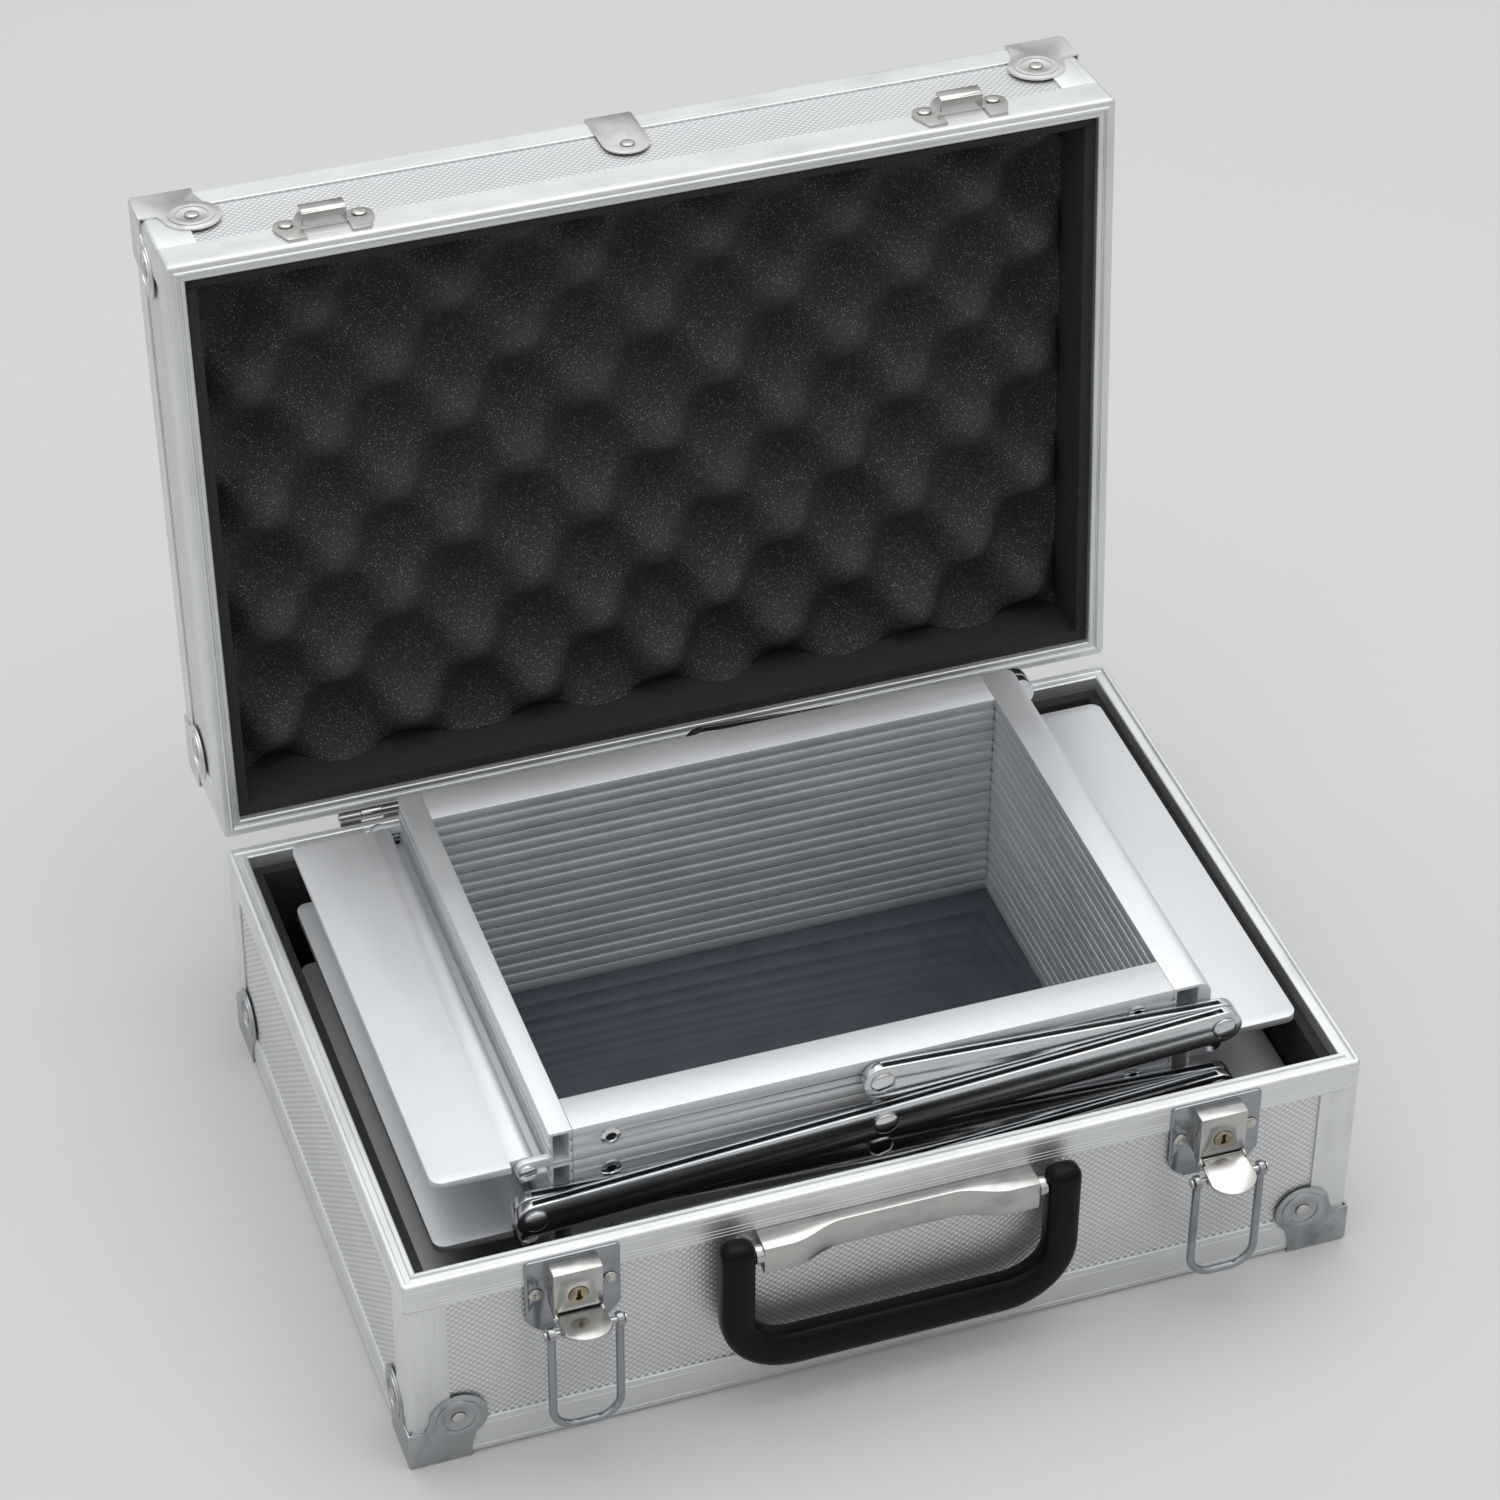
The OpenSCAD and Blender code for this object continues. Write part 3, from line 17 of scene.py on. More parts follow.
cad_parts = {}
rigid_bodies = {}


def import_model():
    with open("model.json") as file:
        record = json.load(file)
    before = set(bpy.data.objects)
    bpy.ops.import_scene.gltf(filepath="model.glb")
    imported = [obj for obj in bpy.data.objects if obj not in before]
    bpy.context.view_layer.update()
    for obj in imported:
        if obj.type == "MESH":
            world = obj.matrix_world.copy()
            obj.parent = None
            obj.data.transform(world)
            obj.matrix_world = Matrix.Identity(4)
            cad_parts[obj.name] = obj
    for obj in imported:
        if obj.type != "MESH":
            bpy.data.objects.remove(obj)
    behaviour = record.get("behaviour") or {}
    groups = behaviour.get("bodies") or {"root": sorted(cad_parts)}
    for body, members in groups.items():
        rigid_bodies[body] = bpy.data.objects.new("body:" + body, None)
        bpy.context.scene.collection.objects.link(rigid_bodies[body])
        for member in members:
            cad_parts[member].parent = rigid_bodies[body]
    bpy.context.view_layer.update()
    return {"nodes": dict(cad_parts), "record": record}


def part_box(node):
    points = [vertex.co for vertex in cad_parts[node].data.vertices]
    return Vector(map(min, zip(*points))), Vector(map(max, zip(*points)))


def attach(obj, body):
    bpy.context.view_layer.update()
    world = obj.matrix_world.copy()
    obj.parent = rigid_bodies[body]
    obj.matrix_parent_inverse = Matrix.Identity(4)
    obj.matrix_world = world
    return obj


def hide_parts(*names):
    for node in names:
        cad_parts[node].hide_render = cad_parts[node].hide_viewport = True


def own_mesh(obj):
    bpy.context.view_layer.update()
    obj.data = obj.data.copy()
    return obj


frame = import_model()

# %% [markdown]
# ## Two measuring frames
# A case maker measures from the lower left front corner, in millimetres. BASE turns such places
# into metres in the scene. LID does the same for the lid, which is measured shut, upwards from
# its mouth, and then swung open about its hinge.

# %% Measuring frames
MM = 0.001
edging_low, edging_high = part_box("base_bottom_edging")
case_w = (edging_high.x - edging_low.x) / MM
case_d = (edging_high.y - edging_low.y) / MM
rim_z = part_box("base_rim_frame")[1].z / MM
rim_gap = 0.4
BASE = Matrix.Translation((edging_low.x, edging_low.y, 0)) @ Matrix.Scale(MM, 4)

record = frame["record"]
joints = {joint["name"]: joint for joint in record["behaviour"]["joints"]}
lid_pivot = Vector(joints["lid_hinge"]["pos_m"])
lid_open = math.radians(joints["lid_hinge"]["range_deg"][0])
lid_turn = Matrix.Rotation(lid_open, 4, "X")
lid_swing = Matrix.Translation(lid_pivot) @ lid_turn @ Matrix.Translation(-lid_pivot)
LID = lid_swing @ BASE @ Matrix.Translation((0, 0, rim_z + rim_gap))
node_body = {node: body for body, nodes in record["behaviour"]["bodies"].items() for node in nodes}
node_slot = {part["node"]: part["material_slot"] for part in record["subparts"]}
print("case", round(case_w, 2), "x", round(case_d, 2), "mm, rim at", round(rim_z, 2))

# %% [markdown]
# ## The camera
# The lens and place come from the perspective of the case itself: a long lens, a little to the
# left of the case and well above it, looking down at about forty degrees.

# %% Camera
camera_data = bpy.data.cameras.new("camera")
camera_data.lens = 113.07
camera_data.sensor_width = 36
camera_data.clip_end = 20
camera = bpy.data.objects.new("camera", camera_data)
camera.location = (-0.49188, -1.39435, 1.38846)
camera.rotation_euler = [math.radians(angle) for angle in (50.8403, -0.3648, -19.0035)]
bpy.context.scene.collection.objects.link(camera)
bpy.context.scene.camera = camera
bpy.context.scene.view_settings.view_transform = "Standard"
print("camera lens", camera_data.lens, "mm, height", round(camera.location.z, 2), "m")

# %% [markdown]
# ## Colours and nodes
# Colours are written as they look on a screen and turned to the linear values that a renderer
# mixes. One small function adds a node, sets it up and links it, so that each finish below reads
# as a list of what it does.

# %% Colour and node helpers
def linear(hex_colour):
    """Turns a screen colour such as #c8cacc into linear red, green, blue and alpha."""
    parts = [int(hex_colour[i:i + 2], 16) / 255 for i in (1, 3, 5)]
    return [c / 12.92 if c <= 0.04045 else ((c + 0.055) / 1.055) ** 2.4 for c in parts] + [1.0]


def add(tree, kind, inputs=None, stops=(), **settings):
    """Adds a node. Inputs maps sockets to values or to outputs of other nodes; stops fill a ramp."""
    made = tree.nodes.new(kind)
    for name, value in settings.items():
        setattr(made, name, value)
    for i, (place, colour) in enumerate(stops):
        element = made.color_ramp.elements[i] if i < 2 else made.color_ramp.elements.new(place)
        element.position = place
        element.color = linear(colour)
    for name, value in (inputs or {}).items():
        if isinstance(value, bpy.types.NodeSocket):
            tree.links.new(value, made.inputs[name])
        else:
            made.inputs[name].default_value = value
    return made


def new_finish(name, **shader):
    """Starts a material and returns it with its node tree and its shader."""
    material = bpy.data.materials.new(name)
    material.use_nodes = True
    tree = material.node_tree
    surface = tree.nodes["Principled BSDF"]
    for socket, value in shader.items():
        surface.inputs[socket.replace("_", " ")].default_value = value
    return material, tree, surface


# %% [markdown]
# ## Finishes that follow each bar
# Drawn and rolled metal has fine lines along its length. Each piece therefore carries a grain
# attribute: its own place in millimetres, with X along the piece, Y across it and Z through it.
# Finishes read that attribute, so that the lines turn with each bar and move with it.

# %% Grain coordinates
def grain_at(tree, along, across):
    """Grain coordinates squeezed so that a noise cell is this many millimetres long and wide."""
    grain = add(tree, "ShaderNodeAttribute", attribute_name="grain")
    return add(tree, "ShaderNodeMapping", {
        "Vector": grain.outputs["Vector"],
        "Scale": (1 / along, 1 / across, 1 / across)}).outputs["Vector"]


def metal(name, colour, dark, roughness, along, across, line_depth):
    """A metal with lengthwise lines, cloudy handling marks and a roughness that follows both."""
    material, tree, surface = new_finish(name, Metallic=1.0)
    lines = add(tree, "ShaderNodeTexNoise", {
        "Vector": grain_at(tree, along, across), "Scale": 1.0, "Detail": 3.0, "Roughness": 0.6})
    clouds = add(tree, "ShaderNodeTexNoise", {
        "Vector": grain_at(tree, 40, 25), "Scale": 1.0, "Detail": 4.0, "Roughness": 0.55})
    tone = add(tree, "ShaderNodeMath", {0: lines.outputs["Fac"], 1: clouds.outputs["Fac"]},
               operation="ADD")
    ramp = add(tree, "ShaderNodeValToRGB", {"Fac": tone.outputs[0]},
               stops=[(0.7, dark), (1.0, colour)])
    tree.links.new(ramp.outputs["Color"], surface.inputs["Base Color"])
    rough = add(tree, "ShaderNodeMapRange", {
        "Value": tone.outputs[0], "From Min": 0.6, "From Max": 1.4,
        "To Min": roughness * 0.9, "To Max": roughness * 1.1})
    tree.links.new(rough.outputs[0], surface.inputs["Roughness"])
    bump = add(tree, "ShaderNodeBump", {
        "Height": lines.outputs["Fac"], "Distance": line_depth * MM, "Strength": 1.0})
    tree.links.new(bump.outputs[0], surface.inputs["Normal"])
    return material


# %% [markdown]
# ## The metals
# Extruded aluminium comes out of its die with lines along its whole length, and anodising in a
# mild acid leaves them under a pale satin skin. Pressed steel is smooth, so its plating decides
# what it shows: chrome is bright and a little blue, nickel warmer and duller. Darker copies of
# the nickel on the faces that look to the front are painted shade, for the dark reflections that
# these faces show. Each finish gives its palest and darkest tone, its roughness, the length and
# width of its lines in millimetres, and how deep they are.

# %% Metals
# The case's profiles, satin anodised, and the stand's, etched longer and so more even
anodised_aluminium = metal("anodised_aluminium", "#e2e4e4", "#d0d2d3", 0.5, 150, 0.3, 0.004)
stand_aluminium = metal("satin_anodised_stand_aluminium", "#dddfe1", "#d8dadd", 0.62, 200, 0.5, 0.001)
# Pressed steel with nickel plating: plain on the lid, and painted darker as shade on the corners
# that the case stands on, on the levers, which are also glossier, and most on the plates and bails
nickel_plated_steel = metal("nickel_plated_pressed_steel", "#d9d9d8", "#bcbdbe", 0.32, 14, 9, 0.008)
painted_shade_nickel = metal("painted_shade_nickel_plated_steel", "#b0b3b5", "#8f9396", 0.32, 14, 9, 0.008)
latch_nickel = metal("bright_nickel_plated_steel", "#bcbbb8", "#a3a3a2", 0.22, 14, 9, 0.006)
painted_deep_shade_nickel = metal("painted_deep_shade_nickel_plated_steel", "#9a9ea2", "#82878c", 0.2, 14, 9, 0.006)
# Chromed steel: polished screw heads, and channels rolled lengthwise for the links
chromed_steel = metal("chromed_pressed_steel", "#e0e1e2", "#cfd1d3", 0.14, 12, 6, 0.006)
chromed_channel = metal("chromed_steel_channel", "#d4d6d8", "#bcc0c4", 0.22, 160, 0.8, 0.003)
# Rivets are bare drawn steel. The lock's brass shows yellow through thin nickel. The sockets of
# the screws are sunk only a little, and their floors are painted near black: painted shade.
plain_rivet_steel = metal("plain_rivet_steel", "#c4c2bd", "#9f9d99", 0.27, 2, 2, 0.006)
nickel_washed_brass = metal("nickel_washed_brass", "#aca08a", "#8f846f", 0.27, 3, 1.5, 0.006)
socket_shade = metal("painted_shade_socket_floor", "#2c2d2f", "#1d1e20", 0.4, 2, 2, 0.004)

# %% [markdown]
# ## The embossed sheet
# The boards wear thin aluminium sheet, rolled with rows of small raised lozenges, each row set
# half a step from the next. Two cosines multiplied give such a field: they peak at the corners
# and in the middle of each cell. The lozenges are painted paler than the field between them, a
# painted highlight on their raised tops. The real step is 3.25 by 2.95 mm. Where the sheet dips
# under the edging its lozenges end in a row of dark dashes of painted shade, drawn at the height
# of that seam. The flat boards share the finish, so a faint row crosses them too.

# %% Embossed aluminium sheet
emboss_step = (3.25, 2.95)
emboss_depth = 0.11
seam_half = 0.3
dash_above = -0.1


def embossed_sheet(name, seam):
    """Sheet with lozenges painted paler as a highlight, and a row of dark dashes of painted shade at
    the height of its seam.
    """
    material, tree, surface = new_finish(name, Metallic=1.0)
    grain = add(tree, "ShaderNodeAttribute", attribute_name="grain")
    split = add(tree, "ShaderNodeSeparateXYZ", {0: grain.outputs["Vector"]})
    waves = []
    for axis, step in zip(("X", "Y"), emboss_step):
        turn = add(tree, "ShaderNodeMath", {0: split.outputs[axis], 1: 2 * math.pi / step},
                   operation="MULTIPLY")
        waves.append(add(tree, "ShaderNodeMath", {0: turn.outputs[0]}, operation="COSINE"))
    field = add(tree, "ShaderNodeMath", {0: waves[0].outputs[0], 1: waves[1].outputs[0]},
                operation="MULTIPLY")
    lozenge = add(tree, "ShaderNodeMapRange", {
        "Value": field.outputs[0], "From Min": -0.5, "From Max": 0.9},
        interpolation_type="SMOOTHSTEP")
    clouds = add(tree, "ShaderNodeTexNoise", {
        "Vector": grain_at(tree, 60, 60), "Scale": 1.0, "Detail": 4.0})
    handling = add(tree, "ShaderNodeMapRange", {"Value": clouds.outputs["Fac"], "To Max": 0.35})
    tone = add(tree, "ShaderNodeMath", {0: lozenge.outputs[0], 1: 0.7, 2: handling.outputs[0]},
               operation="MULTIPLY_ADD")
    # Paler lozenges on a darker field: a painted highlight on their raised tops, over random handling
    # marks.
    sheet = add(tree, "ShaderNodeValToRGB", {"Fac": tone.outputs[0]},
                stops=[(0.1, "#c3c5c7"), (1.0, "#f2f3f3")])
    # Painted shade: dark dashes where the lozenges dip under the edging at the seam.
    near = add(tree, "ShaderNodeMath", {0: split.outputs["Y"], 1: seam, 2: seam_half},
               operation="COMPARE")
    dash = add(tree, "ShaderNodeMath", {0: waves[0].outputs[0], 1: dash_above},
               operation="GREATER_THAN")
    dashes = add(tree, "ShaderNodeMath", {0: near.outputs[0], 1: dash.outputs[0]},
                 operation="MULTIPLY")
    mixed = add(tree, "ShaderNodeMix", {
        0: dashes.outputs[0], 6: sheet.outputs["Color"], 7: linear("#8f8f90")}, data_type="RGBA")
    tree.links.new(mixed.outputs[2], surface.inputs["Base Color"])
    rough = add(tree, "ShaderNodeMapRange", {"Value": tone.outputs[0], "To Min": 0.52, "To Max": 0.42})
    tree.links.new(rough.outputs[0], surface.inputs["Roughness"])
    bump = add(tree, "ShaderNodeBump", {"Height": lozenge.outputs[0], "Distance": emboss_depth * MM})
    tree.links.new(bump.outputs[0], surface.inputs["Normal"])
    return material


seam_gap = 0.4
lid_seam = 47.1
base_seam = edging_high.z / MM + seam_gap
base_sheet = embossed_sheet("embossed_aluminium_sheet", base_seam)
lid_sheet = embossed_sheet("embossed_aluminium_sheet_lid", lid_seam)
print("lozenges", emboss_step, "mm, seams at", round(base_seam, 2), "and", lid_seam)

# %% [markdown]
# ## The foam
# Open-cell polyurethane foam is a froth of tiny broken bubbles: nearly black in its depth, with
# cell walls that catch the light as pale specks. A fine cell pattern gives the pits, and the
# hearts of three cells in ten are left bright. The egg-crate sheet's tone also follows its depth:
# its crests are painted paler and its hollows darker, painted light and shade for the light from
# above. The real cells are about 0.6 mm, drawn here at 0.7 mm so that they show.

# %% Foam
foam_cell = 0.7
bright_above = 0.7
speck_reach = 0.25
depth_shade_share = 0.16


def foam(name, deep, pale, speck, pit_depth, heights=None):
    """Foam; heights are the through-thickness places where its painted shade is deepest and its painted
    light palest.
    """
    material, tree, surface = new_finish(name, Roughness=0.95, Specular_IOR_Level=0.2)
    place = grain_at(tree, 1, 1)
    cells = add(tree, "ShaderNodeTexVoronoi", {"Vector": place, "Scale": 1 / foam_cell})
    froth = add(tree, "ShaderNodeTexNoise", {
        "Vector": place, "Scale": 0.9, "Detail": 4.0, "Roughness": 0.7})
    # Egg-crate: painted light and shade by depth, paler crests and darker hollows.
    if heights:
        split = add(tree, "ShaderNodeSeparateXYZ", {0: place})
        level = add(tree, "ShaderNodeMapRange", {
            "Value": split.outputs["Z"], "From Min": heights[0], "From Max": heights[1]},
            interpolation_type="SMOOTHSTEP").outputs[0]
    else:
        level = add(tree, "ShaderNodeTexNoise", {
            "Vector": place, "Scale": 0.05, "Detail": 2.0}).outputs["Fac"]
    tone = add(tree, "ShaderNodeMath", {0: level, 1: depth_shade_share, 2: froth.outputs["Fac"]},
               operation="MULTIPLY_ADD")
    base = add(tree, "ShaderNodeValToRGB", {"Fac": tone.outputs[0]},
               stops=[(0.27, deep), (1.0, pale)])
    tint = add(tree, "ShaderNodeSeparateColor", {0: cells.outputs["Color"]})
    chosen = add(tree, "ShaderNodeMath", {0: tint.outputs[0], 1: bright_above},
                 operation="GREATER_THAN")
    near = add(tree, "ShaderNodeMath", {0: cells.outputs["Distance"], 1: speck_reach},
               operation="LESS_THAN")
    lit = add(tree, "ShaderNodeMath", {0: chosen.outputs[0], 1: near.outputs[0]}, operation="MULTIPLY")
    mixed = add(tree, "ShaderNodeMix", {0: lit.outputs[0], 6: base.outputs["Color"], 7: linear(speck)},
                data_type="RGBA")
    tree.links.new(mixed.outputs[2], surface.inputs["Base Color"])
    pits = add(tree, "ShaderNodeMath", {0: cells.outputs["Distance"], 1: froth.outputs["Fac"]},
               operation="ADD")
    bump = add(tree, "ShaderNodeBump", {"Height": pits.outputs[0], "Distance": pit_depth * MM},
               invert=True)
    tree.links.new(bump.outputs[0], surface.inputs["Normal"])
    return material


# Depths of the painted light on the crests and of the painted shade in the hollows.
foam_lit_crest_z, foam_shaded_hollow_z = 17, 29
egg_crate_foam = foam("open_cell_polyurethane_foam", "#1f1f21", "#504d51", "#a5a2a0", 0.35,
                      (foam_shaded_hollow_z, foam_lit_crest_z))
lining_foam = foam("fine_cell_lining_foam", "#262628", "#383839", "#454444", 0.2)
print("foam cells", foam_cell, "mm, egg-crate tone from", foam_shaded_hollow_z, "to", foam_lit_crest_z, "mm")

# %% [markdown]
# ## Plastics
# The grip is injection-moulded ABS with a light spark-eroded grain, which breaks its highlight
# into a soft band. The stand's floor is a dark glossy plastic sheet that mirrors the frames.

# %% Plastics
def moulded_plastic(name, colour, pale, roughness, grain_mm, depth, shine):
    """A plastic with a fine grain from its mould and faint smudges from hands."""
    material, tree, surface = new_finish(name, Roughness=roughness, Specular_IOR_Level=shine)
    pebbles = add(tree, "ShaderNodeTexNoise", {
        "Vector": grain_at(tree, grain_mm, grain_mm), "Scale": 1.0, "Detail": 2.0})
    smudges = add(tree, "ShaderNodeTexNoise", {
        "Vector": grain_at(tree, 22, 22), "Scale": 1.0, "Detail": 3.0})
    ramp = add(tree, "ShaderNodeValToRGB", {"Fac": smudges.outputs["Fac"]},
               stops=[(0.35, colour), (0.7, pale)])
    tree.links.new(ramp.outputs["Color"], surface.inputs["Base Color"])
    rough = add(tree, "ShaderNodeMapRange", {
        "Value": smudges.outputs["Fac"], "To Min": roughness * 0.85, "To Max": roughness * 1.2})
    tree.links.new(rough.outputs[0], surface.inputs["Roughness"])
    bump = add(tree, "ShaderNodeBump", {"Height": pebbles.outputs["Fac"], "Distance": depth * MM})
    tree.links.new(bump.outputs[0], surface.inputs["Normal"])
    return material


black_abs = moulded_plastic("moulded_black_abs", "#040405", "#07080a", 0.3, 0.7, 0.008, 0.12)
dark_acrylic = moulded_plastic("dark_acrylic_sheet", "#343a42", "#3a4149", 0.09, 30, 0.0, 0.5)

finish_of_slot = {
    "aluminium_profile": anodised_aluminium, "panel_skin": base_sheet,
    "cap_steel": nickel_plated_steel, "latch_chrome": latch_nickel,
    "rivet_steel": plain_rivet_steel, "lock_brass": nickel_washed_brass,
    "grip_plastic": black_abs, "lining_foam": lining_foam, "egg_crate_foam": egg_crate_foam,
    "stand_aluminium": stand_aluminium, "link_chrome": chromed_channel,
    "fitting_steel": chromed_steel, "floor_panel": dark_acrylic,
}
print("finishes", len(finish_of_slot))

# %% [markdown]
# ## Making a piece
# Each new piece is a mesh in metres, shaded smooth except across real edges, with its grain
# written in. It rides on the body of the node that it stands for and takes the finish of that
# node's slot, and the node's own solid is hidden.

# %% Piece helpers
weld = 0.002


def separate_solids(mesh):
    """Gives each vertex the number of the separate solid that it belongs to."""
    owner = np.full(len(mesh.vertices), -1)
    around = [[] for _ in mesh.vertices]
    for first, second in mesh.edge_keys:
        around[first].append(second)
        around[second].append(first)
    count = 0
    for start in range(len(owner)):
        if owner[start] >= 0:
            continue
        owner[start] = count
        queue = [start]
        while queue:
            for other in around[queue.pop()]:
                if owner[other] < 0:
                    owner[other] = count
                    queue.append(other)
        count += 1
    return owner, count


def points_of(mesh):
    """The places of all vertices as rows of one array."""
    points = np.empty(3 * len(mesh.vertices), np.float32)
    mesh.vertices.foreach_get("co", points)
    return points.reshape(-1, 3).astype(float)


def write_grain(mesh, place):
    """Writes each solid's own coordinates: along its longest side, across it and through it."""
    local = np.array(place.inverted())
    points = points_of(mesh) @ local[:3, :3].T + local[:3, 3]
    owner, count = separate_solids(mesh)
    grain = np.empty_like(points)
    for solid in range(count):
        mine = owner == solid
        size = points[mine].max(0) - points[mine].min(0)
        order = np.argsort(-size, kind="stable")
        grain[mine] = points[mine][:, order]
    attribute = mesh.attributes.new("grain", "FLOAT_VECTOR", "POINT")
    attribute.data.foreach_set("vector", grain.astype(np.float32).ravel())


def finish_piece(piece, node, place, sharp=33, finish=None):
    """Shades a piece, writes its grain, gives it the finish of a node's slot and the node's body, and
    hides the node.
    """
    mesh = piece.data
    mesh.materials.append(finish or finish_of_slot[node_slot[node]])
    mesh.shade_smooth()
    mesh.set_sharp_from_angle(angle=math.radians(sharp))
    write_grain(mesh, place)
    bpy.context.scene.collection.objects.link(piece)
    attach(piece, node_body[node])
    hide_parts(node)
    return piece


def new_piece(name, points, faces, node, place, sharp=33):
    """A piece from points in millimetres in one of the measuring frames."""
    mesh = bpy.data.meshes.new(name)
    mesh.from_pydata([place @ Vector(point) for point in points], [], faces)
    shape = bmesh.new()
    shape.from_mesh(mesh)
    bmesh.ops.remove_doubles(shape, verts=shape.verts, dist=weld * MM)
    bmesh.ops.recalc_face_normals(shape, faces=shape.faces)
    shape.to_mesh(mesh)
    shape.free()
    return finish_piece(bpy.data.objects.new(name, mesh), node, place, sharp)


# %% [markdown]
# ## Edges that catch the light
# No real edge is perfectly sharp: a pressed or sawn edge has a small round that draws a bright
# line. A copy of each plain metal solid is welded, its flat triangles are merged, and its edges
# get a true round of a few tenths of a millimetre. The normals stored with the solid go, because
# they no longer fit the new faces. The stand's screws are found by the area of their flat heads,
# and get the round driver socket that the real ones have.

# %% Rounded copies
screw_flat_r = 2.52
socket_r = 2.2
socket_depth = 0.4
socket_wall = 0.1
flat_within = 0.3
edge_from = 35


def sink_sockets(shape):
    """Sinks a round driver socket into each screw head, whose flat top has a known area."""
    heads = [face for face in shape.faces if abs(face.normal.y) > 0.99
             and abs(face.calc_area() / MM ** 2 - math.pi * screw_flat_r ** 2) < 0.5]
    bmesh.ops.inset_individual(shape, faces=heads, thickness=(screw_flat_r - socket_r) * MM)
    bmesh.ops.inset_individual(shape, faces=heads, thickness=socket_wall * MM, depth=-socket_depth * MM)
    for face in heads:
        # The floor of each socket takes the near-black second finish: painted shade for a real socket's
        # depth.
        face.material_index = 1
    return len(heads)


def rounded(node, width, place=BASE, clamp=False, finish=None, sockets=False):
    """A copy of a node with rounded edges; clamp keeps the rounds of fine curved pieces apart."""
    mesh = frame["nodes"][node].data.copy()
    mesh.materials.clear()
    shape = bmesh.new()
    shape.from_mesh(mesh)
    bmesh.ops.remove_doubles(shape, verts=shape.verts, dist=weld * MM)
    bmesh.ops.dissolve_limit(shape, angle_limit=math.radians(flat_within),
                             verts=shape.verts, edges=shape.edges)
    if sockets:
        print(node, "sockets", sink_sockets(shape))
    bmesh.ops.triangulate(shape, faces=[face for face in shape.faces if len(face.verts) > 4])
    edges = [edge for edge in shape.edges
             if len(edge.link_faces) == 2 and edge.calc_face_angle() > math.radians(edge_from)]
    if width:
        bmesh.ops.bevel(shape, geom=edges, offset=width * MM, offset_type="OFFSET", segments=2,
                        profile=0.5, affect="EDGES", clamp_overlap=clamp)
    shape.to_mesh(mesh)
    shape.free()
    if "custom_normal" in mesh.attributes:
        mesh.attributes.remove(mesh.attributes["custom_normal"])
    piece = finish_piece(bpy.data.objects.new(node + "_piece", mesh), node, place, finish=finish)
    if sockets:
        # The near-black finish of the socket floors, painted shade.
        mesh.materials.append(socket_shade)
    return piece


base_plates = {
    "base_corner_posts": 0.25, "latch_housings": 0.4, "lever_pins": 0.3,
    "handle_pins": 0.4, "hinge_pins": 0.3, "lever_left": 0.3, "lever_right": 0.3,
    "bail_pins_left": 0.3, "bail_pins_right": 0.3, "lock_cylinder_left": 0.25,
    "lock_cylinder_right": 0.25, "stand_floor_panel": 0.4, "base_rivets": 0.3,
}
lid_plates = {
    "lid_corner_posts": 0.25, "lid_middle_clip": 0.25, "lid_catches": 0.3, "lid_rivets": 0.3,
}
for node, width in base_plates.items():
    rounded(node, width)
for node, width in lid_plates.items():
    rounded(node, width, LID)
rounded("hinge_base_leaves", 0.25, clamp=True)
# The corners that the case stands on take a darker nickel: painted shade.
rounded("base_corner_caps", 0.25, clamp=True, finish=painted_shade_nickel)
for node in ("bail_left", "bail_right"):
    # The bails and latch plates take the darkest nickel: painted shade.
    rounded(node, 0.25, clamp=True, finish=painted_deep_shade_nickel)
rounded("latch_plates", 0.3, finish=painted_deep_shade_nickel)
for node in ("hinge_lid_leaves", "lid_corner_caps"):
    rounded(node, 0.25, LID, clamp=True)
# The grip bracket takes the levers' nickel, painted darker as shade.
rounded("handle_bracket", 0.4, finish=latch_nickel)
copies = [piece for piece in bpy.data.objects if piece.name.endswith("_piece")]
print("rounded copies", len(copies), "faces", sum(len(copy.data.polygons) for copy in copies))

# %% [markdown]
# ## The covered boards
# The boards are plain slabs between the profiles, so their solids already have the true shape.
# Their edges hide under the profiles and stay sharp. They only need their embossed finish.

# %% Boards
boards = [rounded(node, 0) for node in ("base_bottom_panel", "base_wall_panels")]
boards += [rounded(node, 0, LID, finish=lid_sheet) for node in ("lid_top_panel", "lid_wall_panels")]
print("boards", len(boards), "faces", sum(len(board.data.polygons) for board in boards))

# %% [markdown]
# ## The extruded rails
# Each rail has one section along its whole length, with ridges and grooves from its die, and is
# cut at 45 degrees at its ends. A section of arcs and straight lines is carried along each side,
# round half of each upright corner, and closed a hair short of the mitre, which leaves its line.

# %% Rails
corner_r = 2.5
mitre_gap = 0.05
corner_steps = 4


def arc(cx, cy, radius, start, end, steps=4):
    """Points on an arc in the section's plane, angles in degrees."""
    return [(cx + radius * math.cos(math.radians(start + (end - start) * i / steps)),
             cy + radius * math.sin(math.radians(start + (end - start) * i / steps)))
            for i in range(steps + 1)]


def grooved(depth_at, start, end, grooves, width=0.5, depth=0.25):
    """A straight face from start to end in height, at one depth, with fine grooves across it."""
    points = [(depth_at, start)]
    way = 1 if end > start else -1
    for middle in sorted(grooves, reverse=end < start):
        half = way * width / 2
        points += [(depth_at, middle - half), (depth_at + depth, middle - 0.4 * half),
                   (depth_at + depth, middle + 0.4 * half), (depth_at, middle + half)]
    return points + [(depth_at, end)]


def corner_path(inset):
    """Places along the front rail for one point of the section, from mitre to mitre."""
    r = max(corner_r - inset, 0)
    centre = max(corner_r, inset)
    path = []
    for i in range(corner_steps + 1):
        angle = math.radians(45 + 45 * i / corner_steps)
        path.append((centre - r * math.cos(angle), centre - r * math.sin(angle)))
    return path


